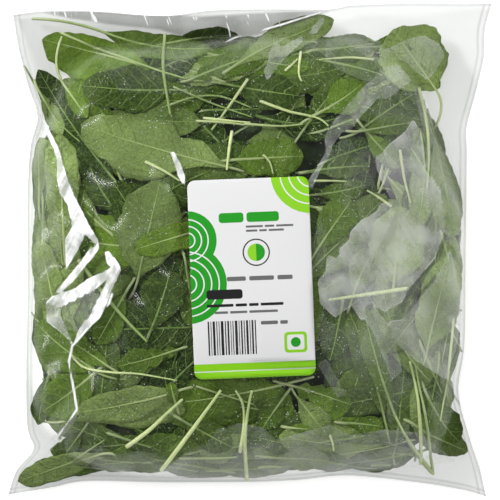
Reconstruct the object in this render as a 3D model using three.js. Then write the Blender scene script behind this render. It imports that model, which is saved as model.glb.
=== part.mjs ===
// A clear film bag of salad leaves, lying on its back, with a paper label stuck to its front.
//
// The bag is one solid: the outer form of the sealed film pouch and of the heap of leaves that fills it.
// The film is flat at its four corners and along its top margin, and swells over the leaves between them.
// Millimetres, +Z up, +X to the right of the label and +Y to the label's top.
// The origin is on the table under the middle of the bag.

import * as THREE from 'three';
import { mergeVertices } from 'three/addons/utils/BufferGeometryUtils.js';

// Driving dimensions of the bag
const bodyHeight = 59;
const filmGap = 1.2;
const sideSeamHeight = 19;
const endSeamHeight = 7;
const cornerHeight = 2.2;

// The four edges of the lying bag, each from its left or bottom end, as points that a smooth curve passes through
const bottomLeft = [-132, -133.6];
const bottomRight = [128.8, -134.5];
const topLeft = [-129.5, 128.5];
const topRight = [132, 134.5];
const bottomEdge = [
  bottomLeft, [-107, -129.2], [-87, -126], [-32, -126.6], [22, -125.5],
  [54, -122.8], [90, -126.6], [116, -130.9], bottomRight,
];
const topEdge = [
  topLeft, [-112, 130.2], [-81, 129.8], [-46, 127.4], [-14, 130.9],
  [40, 131], [57, 133.4], [97, 134.2], topRight,
];
const leftEdge = [
  bottomLeft, [-127, -120], [-117.4, -108], [-120.5, -96], [-121, -64], [-120, -20],
  [-120, 28], [-118.5, 56], [-115, 72], [-120, 88], [-125.5, 108], topLeft,
];
const rightEdge = [
  bottomRight, [125, -119], [119.2, -102], [112.8, -77], [116, -50], [116.5, 0],
  [117, 50], [117, 66], [122, 84], [127, 104], [128, 120], topRight,
];

// The leaf heap inside the edges, in shares of the bag's half width and half length
const heapMiddle = -0.05;
const heapHalfLength = 0.935;
const heapSquareness = 4;
const heapFullness = 3;
const heapShoulder = 0.78;
const contactShare = 0.64;
const slackCorner = { across: 1, along: 0.66, reach: 0.62, slack: 0.2 };

// Leaves push the film out in low lumps
const lumpHeight = 1.5;
const lumpLength = 46;
const lumpWaves = 6;
const goldenAngle = Math.PI * (3 - Math.sqrt(5));

// Puckers run from the side welds into the film, and the empty margins hang in waves
const puckerHeight = 1.7;
const puckerLength = 26;
const marginWaveHeight = 1.4;
const marginWaveLength = 61;

// Folds in the film: each runs through its points, and stands proud or, below zero, lies in
const folds = [
  { height: 3.2, halfWidth: 11, points: [[-112, 70], [-99, 19], [-80, 0]] },
  { height: 3.0, halfWidth: 10, points: [[-72, -6], [-80, -36], [-97, -54], [-93, -86], [-106, -104]] },
  { height: -2.6, halfWidth: 13, points: [[-96, -8], [-88, -34]] },
  { height: 2.4, halfWidth: 9, points: [[-100, 108], [-33, 101], [-8, 114], [30, 124]] },
  { height: 2.2, halfWidth: 10, points: [[84, 95], [43, 55], [38, 42]] },
  { height: 2.6, halfWidth: 10, points: [[113, 2], [87, -24], [77, -46], [106, -70]] },
  { height: -2.2, halfWidth: 14, points: [[104, -20], [98, -50]] },
  { height: 2.0, halfWidth: 10, points: [[50, -112], [73, -99], [104, -104]] },
];

// Driving dimensions of the label
const labelWidth = 64;
const labelLength = 105;
const labelCorner = 4;
const labelThickness = 0.5;
const labelLift = 0.35;
const labelMiddle = [0.8, -14.8];
const labelTurn = THREE.MathUtils.degToRad(2.2);
const labelEase = 9;

// How finely the faceted surfaces are cut
const bagColumns = 48;
const bagRows = 48;
const edgeCrowding = 0.55;
const labelColumns = 12;
const labelStraightRows = 18;
const labelCornerRows = 4;

const bagColour = '#6f8a4c';
const labelColour = '#ecedee';

function smoothStep(low, high, value) {
  const share = THREE.MathUtils.clamp((value - low) / (high - low), 0, 1);
  return share * share * (3 - 2 * share);
}

function edgeCurve(points) {
  return new THREE.SplineCurve(points.map(([x, y]) => new THREE.Vector2(x, y)));
}

const edges = {
  bottom: edgeCurve(bottomEdge),
  top: edgeCurve(topEdge),
  left: edgeCurve(leftEdge),
  right: edgeCurve(rightEdge),
};

// The plan of the bag: across and along run from 0 to 1 between the edges
function planPoint(across, along) {
  const bottom = edges.bottom.getPointAt(across);
  const top = edges.top.getPointAt(across);
  const left = edges.left.getPointAt(along);
  const right = edges.right.getPointAt(along);
  const between = (axis, corner) =>
    bottom[axis] * (1 - along) + top[axis] * along
    + left[axis] * (1 - across) + right[axis] * across
    - bottomLeft[corner] * (1 - across) * (1 - along) - bottomRight[corner] * across * (1 - along)
    - topLeft[corner] * (1 - across) * along - topRight[corner] * across * along;
  return [between('x', 0), between('y', 1)];
}

// The plan read backwards, for what is placed by its position on the table
function planShares(x, y) {
  let across = 0.5;
  let along = 0.5;
  for (let step = 0; step < 12; step += 1) {
    const [atX, atY] = planPoint(across, along);
    across = THREE.MathUtils.clamp(across + (x - atX) / (topRight[0] - topLeft[0]), 0, 1);
    along = THREE.MathUtils.clamp(along + (y - atY) / (topRight[1] - bottomRight[1]), 0, 1);
  }
  return [across, along];
}

// 0 in the middle of the heap, 1 where the leaves end and the two films meet
function heapReach(across, along) {
  const side = 2 * across - 1;
  const end = 2 * along - 1;
  const cornerDistance = Math.hypot(side - slackCorner.across, end - slackCorner.along);
  const slack = 1 + slackCorner.slack * (1 - smoothStep(0, slackCorner.reach, cornerDistance));
  const endShare = Math.abs(end - heapMiddle) / heapHalfLength;
  return slack * (Math.abs(side) ** heapSquareness + endShare ** heapSquareness) ** (1 / heapSquareness);
}

function seamHeight(across, along) {
  const side = Math.abs(2 * across - 1) ** 3;
  const end = Math.abs(2 * along - 1) ** 3;
  return cornerHeight + (sideSeamHeight - cornerHeight) * (1 - end) + (endSeamHeight - cornerHeight) * (1 - side);
}

function lumps(x, y) {
  let height = 0;
  for (let wave = 0; wave < lumpWaves; wave += 1) {
    const heading = wave * goldenAngle;
    const length = lumpLength * (1 - 0.09 * wave);
    const travel = x * Math.cos(heading) + y * Math.sin(heading);
    height += Math.sin((2 * Math.PI * travel) / length + 1.7 * wave);
  }
  return (height * lumpHeight) / Math.sqrt(lumpWaves);
}

function segmentDistance(x, y, from, to) {
  const run = [to[0] - from[0], to[1] - from[1]];
  const share = ((x - from[0]) * run[0] + (y - from[1]) * run[1]) / (run[0] ** 2 + run[1] ** 2);
  const held = THREE.MathUtils.clamp(share, 0, 1);
  return Math.hypot(x - from[0] - held * run[0], y - from[1] - held * run[1]);
}

// A fold has straight flanks and a sharp crest
function foldHeight(x, y) {
  let height = 0;
  for (const fold of folds) {
    let nearest = Infinity;
    for (let i = 1; i < fold.points.length; i += 1) {
      nearest = Math.min(nearest, segmentDistance(x, y, fold.points[i - 1], fold.points[i]));
    }
    height += fold.height * Math.max(0, 1 - nearest / fold.halfWidth);
  }
  return height;
}

// Runs round the rim, with two lengths that drift in and out of step
function puckerWave(x, y) {
  const travel = (2 * Math.PI * (Math.abs(x) + y)) / puckerLength;
  return 0.6 * Math.sin(travel) + 0.4 * Math.sin(0.618 * travel + 1);
}

function labelPosition(a, b) {
  return [
    labelMiddle[0] + a * Math.cos(labelTurn) - b * Math.sin(labelTurn),
    labelMiddle[1] + a * Math.sin(labelTurn) + b * Math.cos(labelTurn),
  ];
}

// 1 under the label, which holds the film smooth, and 0 well outside it
function labelHold(x, y) {
  const dx = x - labelMiddle[0];
  const dy = y - labelMiddle[1];
  const a = Math.abs(dx * Math.cos(labelTurn) + dy * Math.sin(labelTurn));
  const b = Math.abs(dy * Math.cos(labelTurn) - dx * Math.sin(labelTurn));
  const outside = Math.max(a - labelWidth / 2, b - labelLength / 2);
  return 1 - smoothStep(0, labelEase, outside);
}

function underside(across, along) {
  return seamHeight(across, along) * smoothStep(contactShare, 1, heapReach(across, along)) ** 1.3;
}

function topside(across, along) {
  const [x, y] = planPoint(across, along);
  const reach = Math.min(heapReach(across, along), 1);
  const swell = bodyHeight * (1 - reach ** heapFullness) ** heapShoulder;
  const loose = (1 - labelHold(x, y)) * smoothStep(0, 0.35 * bodyHeight, swell);
  const relief = loose * (lumps(x, y) + foldHeight(x, y));
  const rimShare = smoothStep(0.7, 0.93, reach) * smoothStep(0, 0.2 * bodyHeight, swell);
  const pucker = rimShare * puckerHeight * puckerWave(x, y);
  return underside(across, along) + filmGap + Math.max(0, swell + relief + pucker);
}

// Lifts the flat margins and corners in slow waves, both films alike
function marginWave(across, along) {
  const [x, y] = planPoint(across, along);
  const share = smoothStep(0.86, 1.06, heapReach(across, along));
  return share * marginWaveHeight * (1 + Math.sin((2 * Math.PI * (x + 0.4 * y)) / marginWaveLength));
}

// Crowds the cuts towards the edges, where the film turns most
function crowded(share) {
  return share * (1 - edgeCrowding) + (edgeCrowding * (1 - Math.cos(Math.PI * share))) / 2;
}

// A closed solid between two height surfaces over one grid of points, both cut along the same diagonals.
// Each cell is cut along the diagonal that is nearer to level, so that steep flanks stay even.
function solidBetween(columns, rows, pointAt) {
  const positions = [];
  const triangles = [];
  const layerSize = (columns + 1) * (rows + 1);
  const index = (layer, i, j) => layer * layerSize + j * (columns + 1) + i;
  const upperHeight = (vertex) => positions[3 * (vertex % layerSize + layerSize) + 2];
  const quad = (a, b, c, d) => {
    const alongFirst = Math.abs(upperHeight(a) - upperHeight(c));
    const alongSecond = Math.abs(upperHeight(b) - upperHeight(d));
    if (alongFirst <= alongSecond) {
      triangles.push(a, b, c, a, c, d);
    } else {
      triangles.push(a, b, d, b, c, d);
    }
  };
  for (const layer of [0, 1]) {
    for (let j = 0; j <= rows; j += 1) {
      for (let i = 0; i <= columns; i += 1) {
        positions.push(...pointAt(i, j, layer));
      }
    }
  }
  for (let j = 0; j < rows; j += 1) {
    for (let i = 0; i < columns; i += 1) {
      quad(index(1, i, j), index(1, i + 1, j), index(1, i + 1, j + 1), index(1, i, j + 1));
      quad(index(0, i, j), index(0, i, j + 1), index(0, i + 1, j + 1), index(0, i + 1, j));
    }
  }
  for (let i = 0; i < columns; i += 1) {
    quad(index(0, i, 0), index(0, i + 1, 0), index(1, i + 1, 0), index(1, i, 0));
    quad(index(0, i + 1, rows), index(0, i, rows), index(1, i, rows), index(1, i + 1, rows));
  }
  for (let j = 0; j < rows; j += 1) {
    quad(index(0, 0, j + 1), index(0, 0, j), index(1, 0, j), index(1, 0, j + 1));
    quad(index(0, columns, j), index(0, columns, j + 1), index(1, columns, j + 1), index(1, columns, j));
  }
  const geometry = new THREE.BufferGeometry();
  geometry.setAttribute('position', new THREE.Float32BufferAttribute(positions, 3));
  geometry.setIndex(triangles);
  const merged = mergeVertices(geometry, 1e-5);
  merged.computeVertexNormals();
  return merged;
}

function makeBag() {
  const pointAt = (i, j, layer) => {
    const across = crowded(i / bagColumns);
    const along = crowded(j / bagRows);
    const height = layer === 1 ? topside(across, along) : underside(across, along);
    return [...planPoint(across, along), height + marginWave(across, along)];
  };
  const material = new THREE.MeshStandardMaterial({ color: bagColour, roughness: 0.25, metalness: 0 });
  const mesh = new THREE.Mesh(solidBetween(bagColumns, bagRows, pointAt), material);
  mesh.name = 'bag';
  return mesh;
}

// Rows of the label's grid along its length: close together round the corners
function labelRow(row) {
  const straight = labelLength / 2 - labelCorner;
  if (row < labelCornerRows) {
    return -straight - labelCorner * Math.cos((row / labelCornerRows) * (Math.PI / 2));
  }
  if (row > labelCornerRows + labelStraightRows) {
    return -labelRow(2 * labelCornerRows + labelStraightRows - row);
  }
  return straight * ((2 * (row - labelCornerRows)) / labelStraightRows - 1);
}

function labelHalfWidth(b) {
  const past = Math.max(0, Math.abs(b) - (labelLength / 2 - labelCorner));
  return labelWidth / 2 - labelCorner + Math.sqrt(Math.max(0, labelCorner ** 2 - past ** 2));
}

function makeLabel() {
  const pointAt = (i, j, layer) => {
    const b = labelRow(j);
    const a = labelHalfWidth(b) * ((2 * i) / labelColumns - 1);
    const [x, y] = labelPosition(a, b);
    const height = topside(...planShares(x, y)) + labelLift + layer * labelThickness;
    return [x, y, height];
  };
  const rows = 2 * labelCornerRows + labelStraightRows;
  const material = new THREE.MeshStandardMaterial({ color: labelColour, roughness: 0.4, metalness: 0 });
  const mesh = new THREE.Mesh(solidBetween(labelColumns, rows, pointAt), material);
  mesh.name = 'label';
  return mesh;
}

const saladBag = new THREE.Group();
saladBag.add(makeBag(), makeLabel());

export default saladBag;
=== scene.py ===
"""A clear bag of salad leaves, lying on its back: film, leaves, stems, label, print and drops of water.

The bag's form is worked out as in the CAD model: the same edges, heap, lumps and folds, in millimetres.
Leaves are laid one on another in two shells round a dark core, and each shell is fitted under its film.
"""

import math

import bpy
import numpy as np
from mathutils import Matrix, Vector
from mathutils.geometry import delaunay_2d_cdt


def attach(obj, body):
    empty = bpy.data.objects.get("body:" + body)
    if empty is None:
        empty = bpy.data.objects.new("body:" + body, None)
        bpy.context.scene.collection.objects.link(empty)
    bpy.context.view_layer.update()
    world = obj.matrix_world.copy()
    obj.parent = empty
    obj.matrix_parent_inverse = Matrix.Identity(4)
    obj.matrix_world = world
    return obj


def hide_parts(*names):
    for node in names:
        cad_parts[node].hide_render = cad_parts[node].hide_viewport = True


MM = 0.001
SEED = 7

# The bag's driving dimensions, as in the CAD model
BODY_HEIGHT = 59.0
FILM_GAP = 1.2
SIDE_SEAM_HEIGHT = 19.0
END_SEAM_HEIGHT = 7.0
CORNER_HEIGHT = 2.2
BOTTOM_LEFT = (-132.0, -133.6)
BOTTOM_RIGHT = (128.8, -134.5)
TOP_LEFT = (-129.5, 128.5)
TOP_RIGHT = (132.0, 134.5)
BOTTOM_EDGE = [
    BOTTOM_LEFT, (-107, -129.2), (-87, -126), (-32, -126.6), (22, -125.5),
    (54, -122.8), (90, -126.6), (116, -130.9), BOTTOM_RIGHT,
]
TOP_EDGE = [
    TOP_LEFT, (-112, 130.2), (-81, 129.8), (-46, 127.4), (-14, 130.9),
    (40, 131), (57, 133.4), (97, 134.2), TOP_RIGHT,
]
LEFT_EDGE = [
    BOTTOM_LEFT, (-127, -120), (-117.4, -108), (-120.5, -96), (-121, -64), (-120, -20),
    (-120, 28), (-118.5, 56), (-115, 72), (-120, 88), (-125.5, 108), TOP_LEFT,
]
RIGHT_EDGE = [
    BOTTOM_RIGHT, (125, -119), (119.2, -102), (112.8, -77), (116, -50), (116.5, 0),
    (117, 50), (117, 66), (122, 84), (127, 104), (128, 120), TOP_RIGHT,
]
HEAP_MIDDLE = -0.05
HEAP_HALF_LENGTH = 0.935
HEAP_SQUARENESS = 4
HEAP_FULLNESS = 3
HEAP_SHOULDER = 0.78
CONTACT_SHARE = 0.64
SLACK_CORNER = {"across": 1.0, "along": 0.66, "reach": 0.62, "slack": 0.2}
LUMP_HEIGHT = 1.5
LUMP_LENGTH = 46.0
LUMP_WAVES = 6
GOLDEN_ANGLE = math.pi * (3 - math.sqrt(5))
LOOSE_DEPTH = 0.35
PUCKER_HEIGHT = 1.7
PUCKER_LENGTH = 26.0
PUCKER_REACH = (0.7, 0.93)
PUCKER_DEPTH = 0.2
MARGIN_WAVE_HEIGHT = 1.4
MARGIN_WAVE_LENGTH = 61.0
MARGIN_REACH = (0.86, 1.06)
FOLDS = [
    {"height": 3.2, "half_width": 11, "points": [(-112, 70), (-99, 19), (-80, 0)]},
    {
        "height": 3.0, "half_width": 10,
        "points": [(-72, -6), (-80, -36), (-97, -54), (-93, -86), (-106, -104)],
    },
    {"height": -2.6, "half_width": 13, "points": [(-96, -8), (-88, -34)]},
    {"height": 2.4, "half_width": 9, "points": [(-100, 108), (-33, 101), (-8, 114), (30, 124)]},
    {"height": 2.2, "half_width": 10, "points": [(84, 95), (43, 55), (38, 42)]},
    {"height": 2.6, "half_width": 10, "points": [(113, 2), (87, -24), (77, -46), (106, -70)]},
    {"height": -2.2, "half_width": 14, "points": [(104, -20), (98, -50)]},
    {"height": 2.0, "half_width": 10, "points": [(50, -112), (73, -99), (104, -104)]},
]
LABEL_WIDTH = 64.0
LABEL_LENGTH = 105.0
LABEL_CORNER = 4.0
LABEL_MIDDLE = (0.8, -14.8)
LABEL_TURN = math.radians(2.2)
LABEL_EASE = 9.0

# The photograph's frame and the camera that took it
PHOTO_SIDE = 500
PHOTO_MIDDLE = (250.0, 250.5)
MM_PER_PIXEL = 0.542
EDGE_PLANE = 15.0
LEAF_PLANE = 50.0
CAMERA_HEIGHT = 1500.0
SENSOR = 36.0


def smooth_step(low, high, value):
    share = np.clip((value - low) / (high - low), 0, 1)
    return share * share * (3 - 2 * share)


# The form of the bag

def even_curve(points, samples=1200):
    """A smooth curve through the points, as its positions at equal steps of length."""
    p = np.array(points, float)
    last = len(p) - 1
    t = np.linspace(0, last, samples)
    i = np.minimum(t.astype(int), last - 1)
    w = (t - i)[:, None]
    here, there = p[i], p[i + 1]
    leaving = (there - p[np.maximum(i - 1, 0)]) / 2
    arriving = (p[np.minimum(i + 2, last)] - here) / 2
    curve = (
        (2 * here - 2 * there + leaving + arriving) * w**3
        + (3 * there - 3 * here - 2 * leaving - arriving) * w**2
        + leaving * w
        + here
    )
    length = np.concatenate([[0], np.cumsum(np.linalg.norm(np.diff(curve, axis=0), axis=1))])
    even = np.linspace(0, length[-1], samples)
    return np.stack([np.interp(even, length, curve[:, k]) for k in (0, 1)], axis=1)


EDGES = {
    "bottom": even_curve(BOTTOM_EDGE),
    "top": even_curve(TOP_EDGE),
    "left": even_curve(LEFT_EDGE),
    "right": even_curve(RIGHT_EDGE),
}


def edge_point(edge, share):
    curve = EDGES[edge]
    at = share * (len(curve) - 1)
    return np.stack([np.interp(at, np.arange(len(curve)), curve[:, k]) for k in (0, 1)], axis=-1)


def plan_point(across, along):
    """Where a point of the film lies in plan: across and along run from 0 to 1 between the edges."""
    a = np.asarray(across)[..., None]
    b = np.asarray(along)[..., None]
    return (
        edge_point("bottom", across) * (1 - b) + edge_point("top", across) * b
        + edge_point("left", along) * (1 - a) + edge_point("right", along) * a
        - np.array(BOTTOM_LEFT) * (1 - a) * (1 - b) - np.array(BOTTOM_RIGHT) * a * (1 - b)
        - np.array(TOP_LEFT) * (1 - a) * b - np.array(TOP_RIGHT) * a * b
    )


def plan_shares(x, y):
    """plan_point read backwards."""
    across = np.full(np.shape(x), 0.5)
    along = np.full(np.shape(x), 0.5)
    for _ in range(12):
        at = plan_point(across, along)
        across = np.clip(across + (x - at[..., 0]) / (TOP_RIGHT[0] - TOP_LEFT[0]), 0, 1)
        along = np.clip(along + (y - at[..., 1]) / (TOP_RIGHT[1] - BOTTOM_RIGHT[1]), 0, 1)
    return across, along


def heap_reach(across, along):
    """0 in the middle of the heap, 1 where the leaves end and the two films meet."""
    side = 2 * across - 1
    end = 2 * along - 1
    corner_distance = np.hypot(side - SLACK_CORNER["across"], end - SLACK_CORNER["along"])
    slack = 1 + SLACK_CORNER["slack"] * (1 - smooth_step(0, SLACK_CORNER["reach"], corner_distance))
    end_share = np.abs(end - HEAP_MIDDLE) / HEAP_HALF_LENGTH
    n = HEAP_SQUARENESS
    return slack * (np.abs(side) ** n + end_share**n) ** (1 / n)


def seam_height(across, along):
    side = np.abs(2 * across - 1) ** 3
    end = np.abs(2 * along - 1) ** 3
    return (
        CORNER_HEIGHT
        + (SIDE_SEAM_HEIGHT - CORNER_HEIGHT) * (1 - end)
        + (END_SEAM_HEIGHT - CORNER_HEIGHT) * (1 - side)
    )


def lumps(x, y):
    height = 0
    for wave in range(LUMP_WAVES):
        heading = wave * GOLDEN_ANGLE
        length = LUMP_LENGTH * (1 - 0.09 * wave)
        travel = x * math.cos(heading) + y * math.sin(heading)
        height = height + np.sin(2 * math.pi * travel / length + 1.7 * wave)
    return height * LUMP_HEIGHT / math.sqrt(LUMP_WAVES)


def path_distance(x, y, points):
    """How far each point is from a path of straight runs."""
    nearest = np.full(np.shape(x), np.inf)
    for (x0, y0), (x1, y1) in zip(points, points[1:]):
        run_x, run_y = x1 - x0, y1 - y0
        share = np.clip(((x - x0) * run_x + (y - y0) * run_y) / (run_x**2 + run_y**2), 0, 1)
        nearest = np.minimum(nearest, np.hypot(x - x0 - share * run_x, y - y0 - share * run_y))
    return nearest


def fold_height(x, y):
    height = 0
    for fold in FOLDS:
        distance = path_distance(x, y, fold["points"])
        height = height + fold["height"] * np.maximum(0, 1 - distance / fold["half_width"])
    return height


def pucker_wave(x, y):
    travel = 2 * math.pi * (np.abs(x) + y) / PUCKER_LENGTH
    return 0.6 * np.sin(travel) + 0.4 * np.sin(0.618 * travel + 1)


def label_position(a, b):
    """A point of the label in plan, from its place across and along the label."""
    return np.stack([
        LABEL_MIDDLE[0] + a * math.cos(LABEL_TURN) - b * math.sin(LABEL_TURN),
        LABEL_MIDDLE[1] + a * math.sin(LABEL_TURN) + b * math.cos(LABEL_TURN),
    ], axis=-1)


def label_hold(x, y):
    """1 under the label, which holds the film smooth, and 0 well outside it."""
    dx = x - LABEL_MIDDLE[0]
    dy = y - LABEL_MIDDLE[1]
    a = np.abs(dx * math.cos(LABEL_TURN) + dy * math.sin(LABEL_TURN))
    b = np.abs(dy * math.cos(LABEL_TURN) - dx * math.sin(LABEL_TURN))
    outside = np.maximum(a - LABEL_WIDTH / 2, b - LABEL_LENGTH / 2)
    return 1 - smooth_step(0, LABEL_EASE, outside)


def swell(reach):
    return BODY_HEIGHT * (1 - np.minimum(reach, 1) ** HEAP_FULLNESS) ** HEAP_SHOULDER


def underside(across, along):
    return seam_height(across, along) * smooth_step(CONTACT_SHARE, 1, heap_reach(across, along)) ** 1.3


def topside(across, along):
    at = plan_point(across, along)
    x, y = at[..., 0], at[..., 1]
    reach = np.minimum(heap_reach(across, along), 1)
    full = swell(reach)
    loose = (1 - label_hold(x, y)) * smooth_step(0, LOOSE_DEPTH * BODY_HEIGHT, full)
    relief = loose * (lumps(x, y) + fold_height(x, y))
    rim_share = smooth_step(*PUCKER_REACH, reach) * smooth_step(0, PUCKER_DEPTH * BODY_HEIGHT, full)
    pucker = rim_share * PUCKER_HEIGHT * pucker_wave(x, y)
    return underside(across, along) + FILM_GAP + np.maximum(0, full + relief + pucker)


def margin_wave(across, along):
    at = plan_point(across, along)
    share = smooth_step(*MARGIN_REACH, heap_reach(across, along))
    travel = 2 * math.pi * (at[..., 0] + 0.4 * at[..., 1]) / MARGIN_WAVE_LENGTH
    return share * MARGIN_WAVE_HEIGHT * (1 + np.sin(travel))


# Fields: a number for each point of the table, on a square grid

FIELD_STEP = 1.5
FIELD_HALF = 138.0
FIELD_CELLS = int(2 * FIELD_HALF / FIELD_STEP) + 1
FIELD_LINE = np.linspace(-FIELD_HALF, FIELD_HALF, FIELD_CELLS)
FIELD_X, FIELD_Y = np.meshgrid(FIELD_LINE, FIELD_LINE, indexing="ij")
FIELD_SHARES = plan_shares(FIELD_X, FIELD_Y)


def blend_cells(table, i, j, u, v):
    """The values at the shares u and v of the way from the cells i and j to the next ones."""
    return (
        table[i, j] * (1 - u) * (1 - v) + table[i + 1, j] * u * (1 - v)
        + table[i, j + 1] * (1 - u) * v + table[i + 1, j + 1] * u * v
    )


def read_field(field, x, y):
    """The field's values at any points, even between its grid lines."""
    at_x = np.clip((x + FIELD_HALF) / FIELD_STEP, 0, FIELD_CELLS - 1.001)
    at_y = np.clip((y + FIELD_HALF) / FIELD_STEP, 0, FIELD_CELLS - 1.001)
    i, j = np.floor(at_x).astype(int), np.floor(at_y).astype(int)
    return blend_cells(field, i, j, at_x - i, at_y - j)


def spread(field, reach, combine):
    """The field with each value combined with its neighbours up to reach cells away, along both axes."""
    for axis in (0, 1):
        padded = np.pad(field, [(reach, reach) if k == axis else (0, 0) for k in (0, 1)], mode="edge")
        size = field.shape[axis]
        parts = [np.take(padded, np.arange(s, s + size), axis=axis) for s in range(2 * reach + 1)]
        field = combine(parts)
    return field


def highest(parts):
    return np.maximum.reduce(parts)


def average(parts):
    return sum(parts) / len(parts)


REACH = heap_reach(*FIELD_SHARES)
MARGIN = margin_wave(*FIELD_SHARES)
FILM_TOP = topside(*FIELD_SHARES) + MARGIN
FILM_BOTTOM = underside(*FIELD_SHARES) + MARGIN


# Leaves

# Half widths of a blade from its base, at 0, to its tip, at 1, as shares of the widest
OUTLINES = {
    "plain": [
        (0, 0.07), (0.1, 0.16), (0.22, 0.42), (0.36, 0.74), (0.5, 0.95), (0.62, 1), (0.76, 0.92),
        (0.87, 0.7), (0.95, 0.42), (0.985, 0.2), (1, 0.02),
    ],
    "round": [
        (0, 0.08), (0.06, 0.2), (0.16, 0.6), (0.3, 0.9), (0.45, 1), (0.62, 0.98), (0.78, 0.84),
        (0.9, 0.58), (0.97, 0.3), (1, 0.02),
    ],
    "lobed": [
        (0, 0.06), (0.09, 0.12), (0.15, 0.38), (0.21, 0.52), (0.26, 0.34), (0.31, 0.36), (0.39, 0.7),
        (0.45, 0.82), (0.51, 0.66), (0.58, 0.84), (0.7, 1), (0.82, 0.92), (0.92, 0.62), (0.98, 0.28),
        (1, 0.02),
    ],
    "belly": [
        (0, 0.05), (0.1, 0.1), (0.2, 0.2), (0.3, 0.48), (0.42, 0.85), (0.52, 0.98), (0.63, 1), (0.75, 0.86),
        (0.86, 0.72), (0.94, 0.5), (0.985, 0.26), (1, 0.02),
    ],
    "scalloped": [
        (0, 0.05), (0.08, 0.18), (0.16, 0.6), (0.24, 0.74), (0.3, 0.64), (0.35, 0.58), (0.41, 0.9),
        (0.46, 1), (0.52, 0.86), (0.6, 0.76), (0.7, 0.8), (0.8, 0.75), (0.9, 0.56), (0.97, 0.3), (1, 0.02),
    ],
    "strap": [
        (0, 0.1), (0.12, 0.4), (0.25, 0.74), (0.4, 0.95), (0.55, 1), (0.72, 0.95), (0.86, 0.74),
        (0.95, 0.45), (1, 0.03),
    ],
}


# How far teeth and waves stand out from a blade's edge, as shares of its half width
TOOTH_SHARE = 0.03
WAVE_SHARE = 0.035

# The least half width of a blade, the half width that a stem has in plan, in millimetres, and the usual bow
THREAD_HALF = 0.25
STEM_HALF = 0.9
BOW_SPREAD = 0.05

# The width of a blade that bends as much as own_shape says
USUAL_WIDTH = 28


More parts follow.
